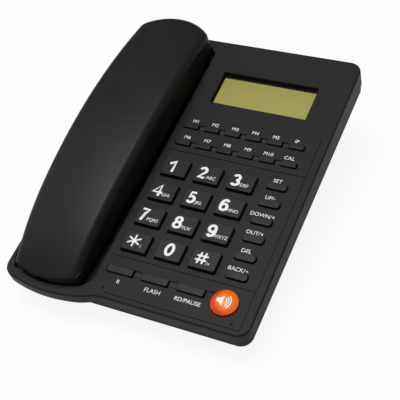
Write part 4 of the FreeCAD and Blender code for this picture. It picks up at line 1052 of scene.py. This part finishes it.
@dataclass
class WellCorners:
    """The gussets in the two back corners of the well that takes the ear cup."""

    finishes: Finishes
    back: float = 97.0
    deep: float = 7.6
    sunk_sideways: float = 0.3
    sunk_below: float = 0.1
    below_panel: float = 0.02
    edge: float = 0.1
    posts: tuple[tuple[float, float, float], ...] = ((-20.4, 5.0, 1.0), (-74.9, 4.0, -1.0))

    def gusset(self, across: float, leg: float, side: float) -> bpy.types.Object:
        """Return one three-sided post in panel millimetres, its right angle in the well's corner.

        Args:
            across: the well's side wall.
            leg: how far the gusset reaches along each wall.
            side: 1.0 for the right corner and -1.0 for the left one.

        Returns:
            The mesh object.
        """
        deselect()
        # An even triangle of radius 1 is 1.5 high and twice sin 60 wide; scaled, its tip gets a right angle
        half = (leg + self.sunk_sideways) / math.sqrt(2.0)
        wide = half / math.sin(math.radians(60.0))
        high = half / 1.5
        tall = self.deep + self.sunk_below
        bpy.ops.mesh.primitive_cylinder_add(vertices=3, radius=1.0, depth=1.0)
        piece = bpy.context.view_layer.objects.active
        piece.scale = (wide, high, tall)
        bpy.ops.object.transform_apply(location=False, rotation=False, scale=True)
        apply_modifier(piece, "BEVEL", width=self.edge, segments=2)
        corner = Vector((across, self.back, -tall / 2 - self.below_panel))
        corner += Vector((side, 1.0, 0.0)) * self.sunk_sideways
        turn = Matrix.Rotation(math.radians(-45.0 * side), 4, "Z")
        tip_to_middle = Matrix.Translation((0.0, -high, 0.0))
        piece.data.transform(Matrix.Translation(corner) @ turn @ tip_to_middle)
        return piece

    def build(self) -> None:
        """Build both gussets as one piece of the base."""
        piece = merge("well_corners", [self.gusset(*post) for post in self.posts])
        settle(piece, PANEL.matrix())
        dress(piece, self.finishes.case)
        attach(piece, Body.BASE.value)
        log.info("made well_corners")


@dataclass(frozen=True)
class Mouth:
    """A cord socket's mouth, in metres in the part's frame."""

    middle: Vector
    inward: Vector
    side: Vector
    up: Vector


@dataclass
class SocketContacts:
    """The row of four sprung contact wires in each cord socket."""

    finishes: Finishes
    count: int = 4
    wire_radius: float = 0.00022
    pitch: float = 0.00102
    # Each wire's points: how far inside the mouth, and how far above the socket's middle
    path: tuple[Pair, ...] = ((0.0018, 0.0019), (0.0028, 0.0016), (0.0088, -0.0009), (0.0098, -0.0008))

    def row(self, name: str, mouth: Mouth, body: Body) -> None:
        """Build wires that slope from the socket's roof at its mouth down to its floor inside.

        Args:
            name: the piece's name.
            mouth: where the socket opens.
            body: the body that it rides on.
        """
        wires = []
        for i in range(self.count):
            start = mouth.middle + mouth.side * ((i - (self.count - 1) / 2) * self.pitch)
            points = [start + mouth.inward * inside + mouth.up * above for inside, above in self.path]
            wires.append(tube(f"{name}_{i}", points, self.wire_radius))
        piece = merge(name, wires)
        dress(piece, self.finishes.gold)
        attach(piece, body.value)
        log.info("made %s", name)

    def build(self) -> None:
        """Build the contacts of the three sockets."""
        right, back, up = Vector((1.0, 0.0, 0.0)), Vector((0.0, 1.0, 0.0)), Vector((0.0, 0.0, 1.0))
        line_mouth = Mouth(Vector((-0.034, 0.0816, 0.0099)), -back, right, up)
        self.row("line_contacts", line_mouth, Body.BASE)
        side_mouth = Mouth(Vector((-0.0506, -0.040, 0.0098)), right, back, up)
        self.row("base_cord_contacts", side_mouth, Body.BASE)
        nose = PANEL.point(-49.6, -89.2, -0.1)
        nose_mouth = Mouth(nose, PANEL.direction(0.0, 1.0, 0.0), right, PANEL.direction(0.0, 0.0, 1.0))
        self.row("handset_contacts", nose_mouth, Body.HANDSET)


@dataclass
class Dressing:
    """Gives the solids that came with the frame, apart from the keys, their finishes."""

    finishes: Finishes

    def apply(self, nodes: Mapping[str, bpy.types.Object]) -> None:
        """Dress the solids.

        Args:
            nodes: the frame's solids by name.
        """
        given = self.finishes
        choice = {
            given.case: ("upper_case", "hook_plunger", "ringer_slide_knob"),
            given.lower: ("lower_case", "battery_door"),
            given.handset: ("handset_upper_shell", "handset_lower_shell"),
            given.display: ("display_window",),
            given.rubber: ("rubber_feet",),
            given.mat: ("key_mat",),
            given.board: ("key_board", "main_board"),
            given.steel: ("case_screws", "board_screws", "handset_screws", "battery_cells"),
            given.iron: ("handset_weight",),
            given.dark: (
                "display_module",
                "hook_switch",
                "line_socket",
                "base_handset_socket",
                "handset_socket",
                "ringer_switch",
                "receiver_capsule",
                "microphone_capsule",
            ),
            given.cloth: ("loudspeaker",),
        }
        for material, names in choice.items():
            for name in names:
                dress(nodes[name], material)
        log.info("dressed %d solids apart from the keys", sum(len(names) for names in choice.values()))


# Studio


@dataclass(frozen=True)
class Lamp:
    """One soft area lamp that shines on the telephone."""

    name: str
    place: Triple
    size: float
    power: float
    target: Triple = (0.0, 0.0, 0.03)

    def build(self) -> None:
        """Add the lamp."""
        light = bpy.data.lights.new(self.name, "AREA")
        light.shape = "SQUARE"
        light.size = self.size
        light.energy = self.power
        made = bpy.data.objects.new(self.name, light)
        bpy.context.scene.collection.objects.link(made)
        made.location = self.place
        aim = Vector(self.target) - Vector(self.place)
        made.rotation_euler = aim.to_track_quat("-Z", "Y").to_euler()


@dataclass(frozen=True)
class Studio:
    """Plain pale floor, soft light and the camera at the photograph's angle."""

    focal_pixels: float = 913.0
    frame_pixels: float = 400.0
    sensor: float = 36.0
    camera_place: Triple = (221.7, -279.9, 422.2)
    right: Triple = (0.8998, 0.3896, -0.1965)
    down: Triple = (0.2122, -0.7841, -0.5833)
    ahead: Triple = (-0.3813, 0.4831, -0.7881)
    ambient: float = 0.13
    floor_size: float = 12.0
    floor_drop: float = 0.0001
    floor_pale: Colour = (0.9, 0.9, 0.9)
    floor_grain: Colour = (0.86, 0.86, 0.86)
    seen_white: float = 0.9
    mirrored_white: float = 0.3
    lamps: tuple[Lamp, ...] = (
        Lamp("softbox_above", (-0.12, -0.05, 1.48), 0.9, 17.0),
        Lamp("softbox_left", (-1.25, -0.05, 0.75), 0.9, 3.5),
    )

    def floor(self) -> None:
        """Add the floor, nearly white to the camera but still taking the object's shadow."""
        deselect()
        bpy.ops.mesh.primitive_plane_add(size=self.floor_size, location=(0.0, 0.0, -self.floor_drop))
        plane = bpy.context.view_layer.objects.active
        plane.name = "studio_floor"
        recipe = Recipe("studio_floor")
        stops = [(0.0, self.floor_grain), (1.0, self.floor_pale)]
        recipe.set(Base_Color=recipe.ramp(recipe.noise(40.0), stops), Roughness=0.9)
        seen = recipe.node("ShaderNodeLightPath", {}, {}, "Is Camera Ray")
        mirrored = recipe.node("ShaderNodeLightPath", {}, {}, "Is Glossy Ray")
        glow = recipe.node("ShaderNodeEmission", {}, {"Color": WHITE, "Strength": 1.0})
        share = (seen * self.seen_white + mirrored * self.mirrored_white).math("MINIMUM", self.seen_white)
        surface = Wire(recipe.tree, recipe.surface.outputs[0])
        recipe.finish_with(recipe.node("ShaderNodeMixShader", {}, {0: share, 1: surface, 2: glow}))
        dress(plane, recipe.material)

    def sky(self) -> None:
        """Give the world a plain grey light that the camera sees as white."""
        world = bpy.data.worlds.new("studio_world")
        bpy.context.scene.world = world
        world.use_nodes = True
        nodes = Nodes(world.node_tree)
        seen = nodes.node("ShaderNodeLightPath", {}, {}, "Is Camera Ray")
        strength = seen * (1.0 - self.ambient) + self.ambient
        back = nodes.node("ShaderNodeBackground", {}, {"Color": WHITE, "Strength": strength})
        nodes.add("ShaderNodeOutputWorld", {}, {"Surface": back})

    def camera(self) -> None:
        """Add the camera where the photograph was taken from."""
        data = bpy.data.cameras.new("studio_camera")
        data.sensor_width = self.sensor
        data.lens = self.focal_pixels / self.frame_pixels * data.sensor_width
        made = bpy.data.objects.new("studio_camera", data)
        bpy.context.scene.collection.objects.link(made)
        right, down, ahead = (PANEL.direction(*way) for way in (self.right, self.down, self.ahead))
        turn = Matrix((right, -down, -ahead)).transposed().to_4x4()
        made.matrix_world = Matrix.Translation(PANEL.point(*self.camera_place)) @ turn
        data.clip_start = 0.01
        data.clip_end = 50.0
        bpy.context.scene.camera = made

    def build(self) -> None:
        """Set up the studio."""
        self.floor()
        self.sky()
        for lamp in self.lamps:
            lamp.build()
        self.camera()
        bpy.context.scene.view_settings.view_transform = "Standard"
        log.info("studio ready")


def corners(box: tuple[Vector, Vector]) -> list[list[float]]:
    """Return a box's two corners as plain lists."""
    return [list(box[0]), list(box[1])]


def main() -> None:
    """Dress the frame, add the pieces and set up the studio."""
    logging.basicConfig(level=logging.INFO, format="%(name)s: %(message)s")
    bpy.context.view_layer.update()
    finishes = Finishes()
    Dressing(finishes).apply(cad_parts)
    keypad = Keypad(finishes)
    keypad.dress_keys(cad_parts)
    printing = Printing(finishes.ink)
    keypad.print_dial(printing)
    keypad.print_labels(printing)
    SpeakerIcon(finishes).build()
    SlotWebs(finishes).build()
    WellCorners(finishes).build()
    SocketContacts(finishes).build()
    Studio().build()


if __name__ == "__main__":
    main()
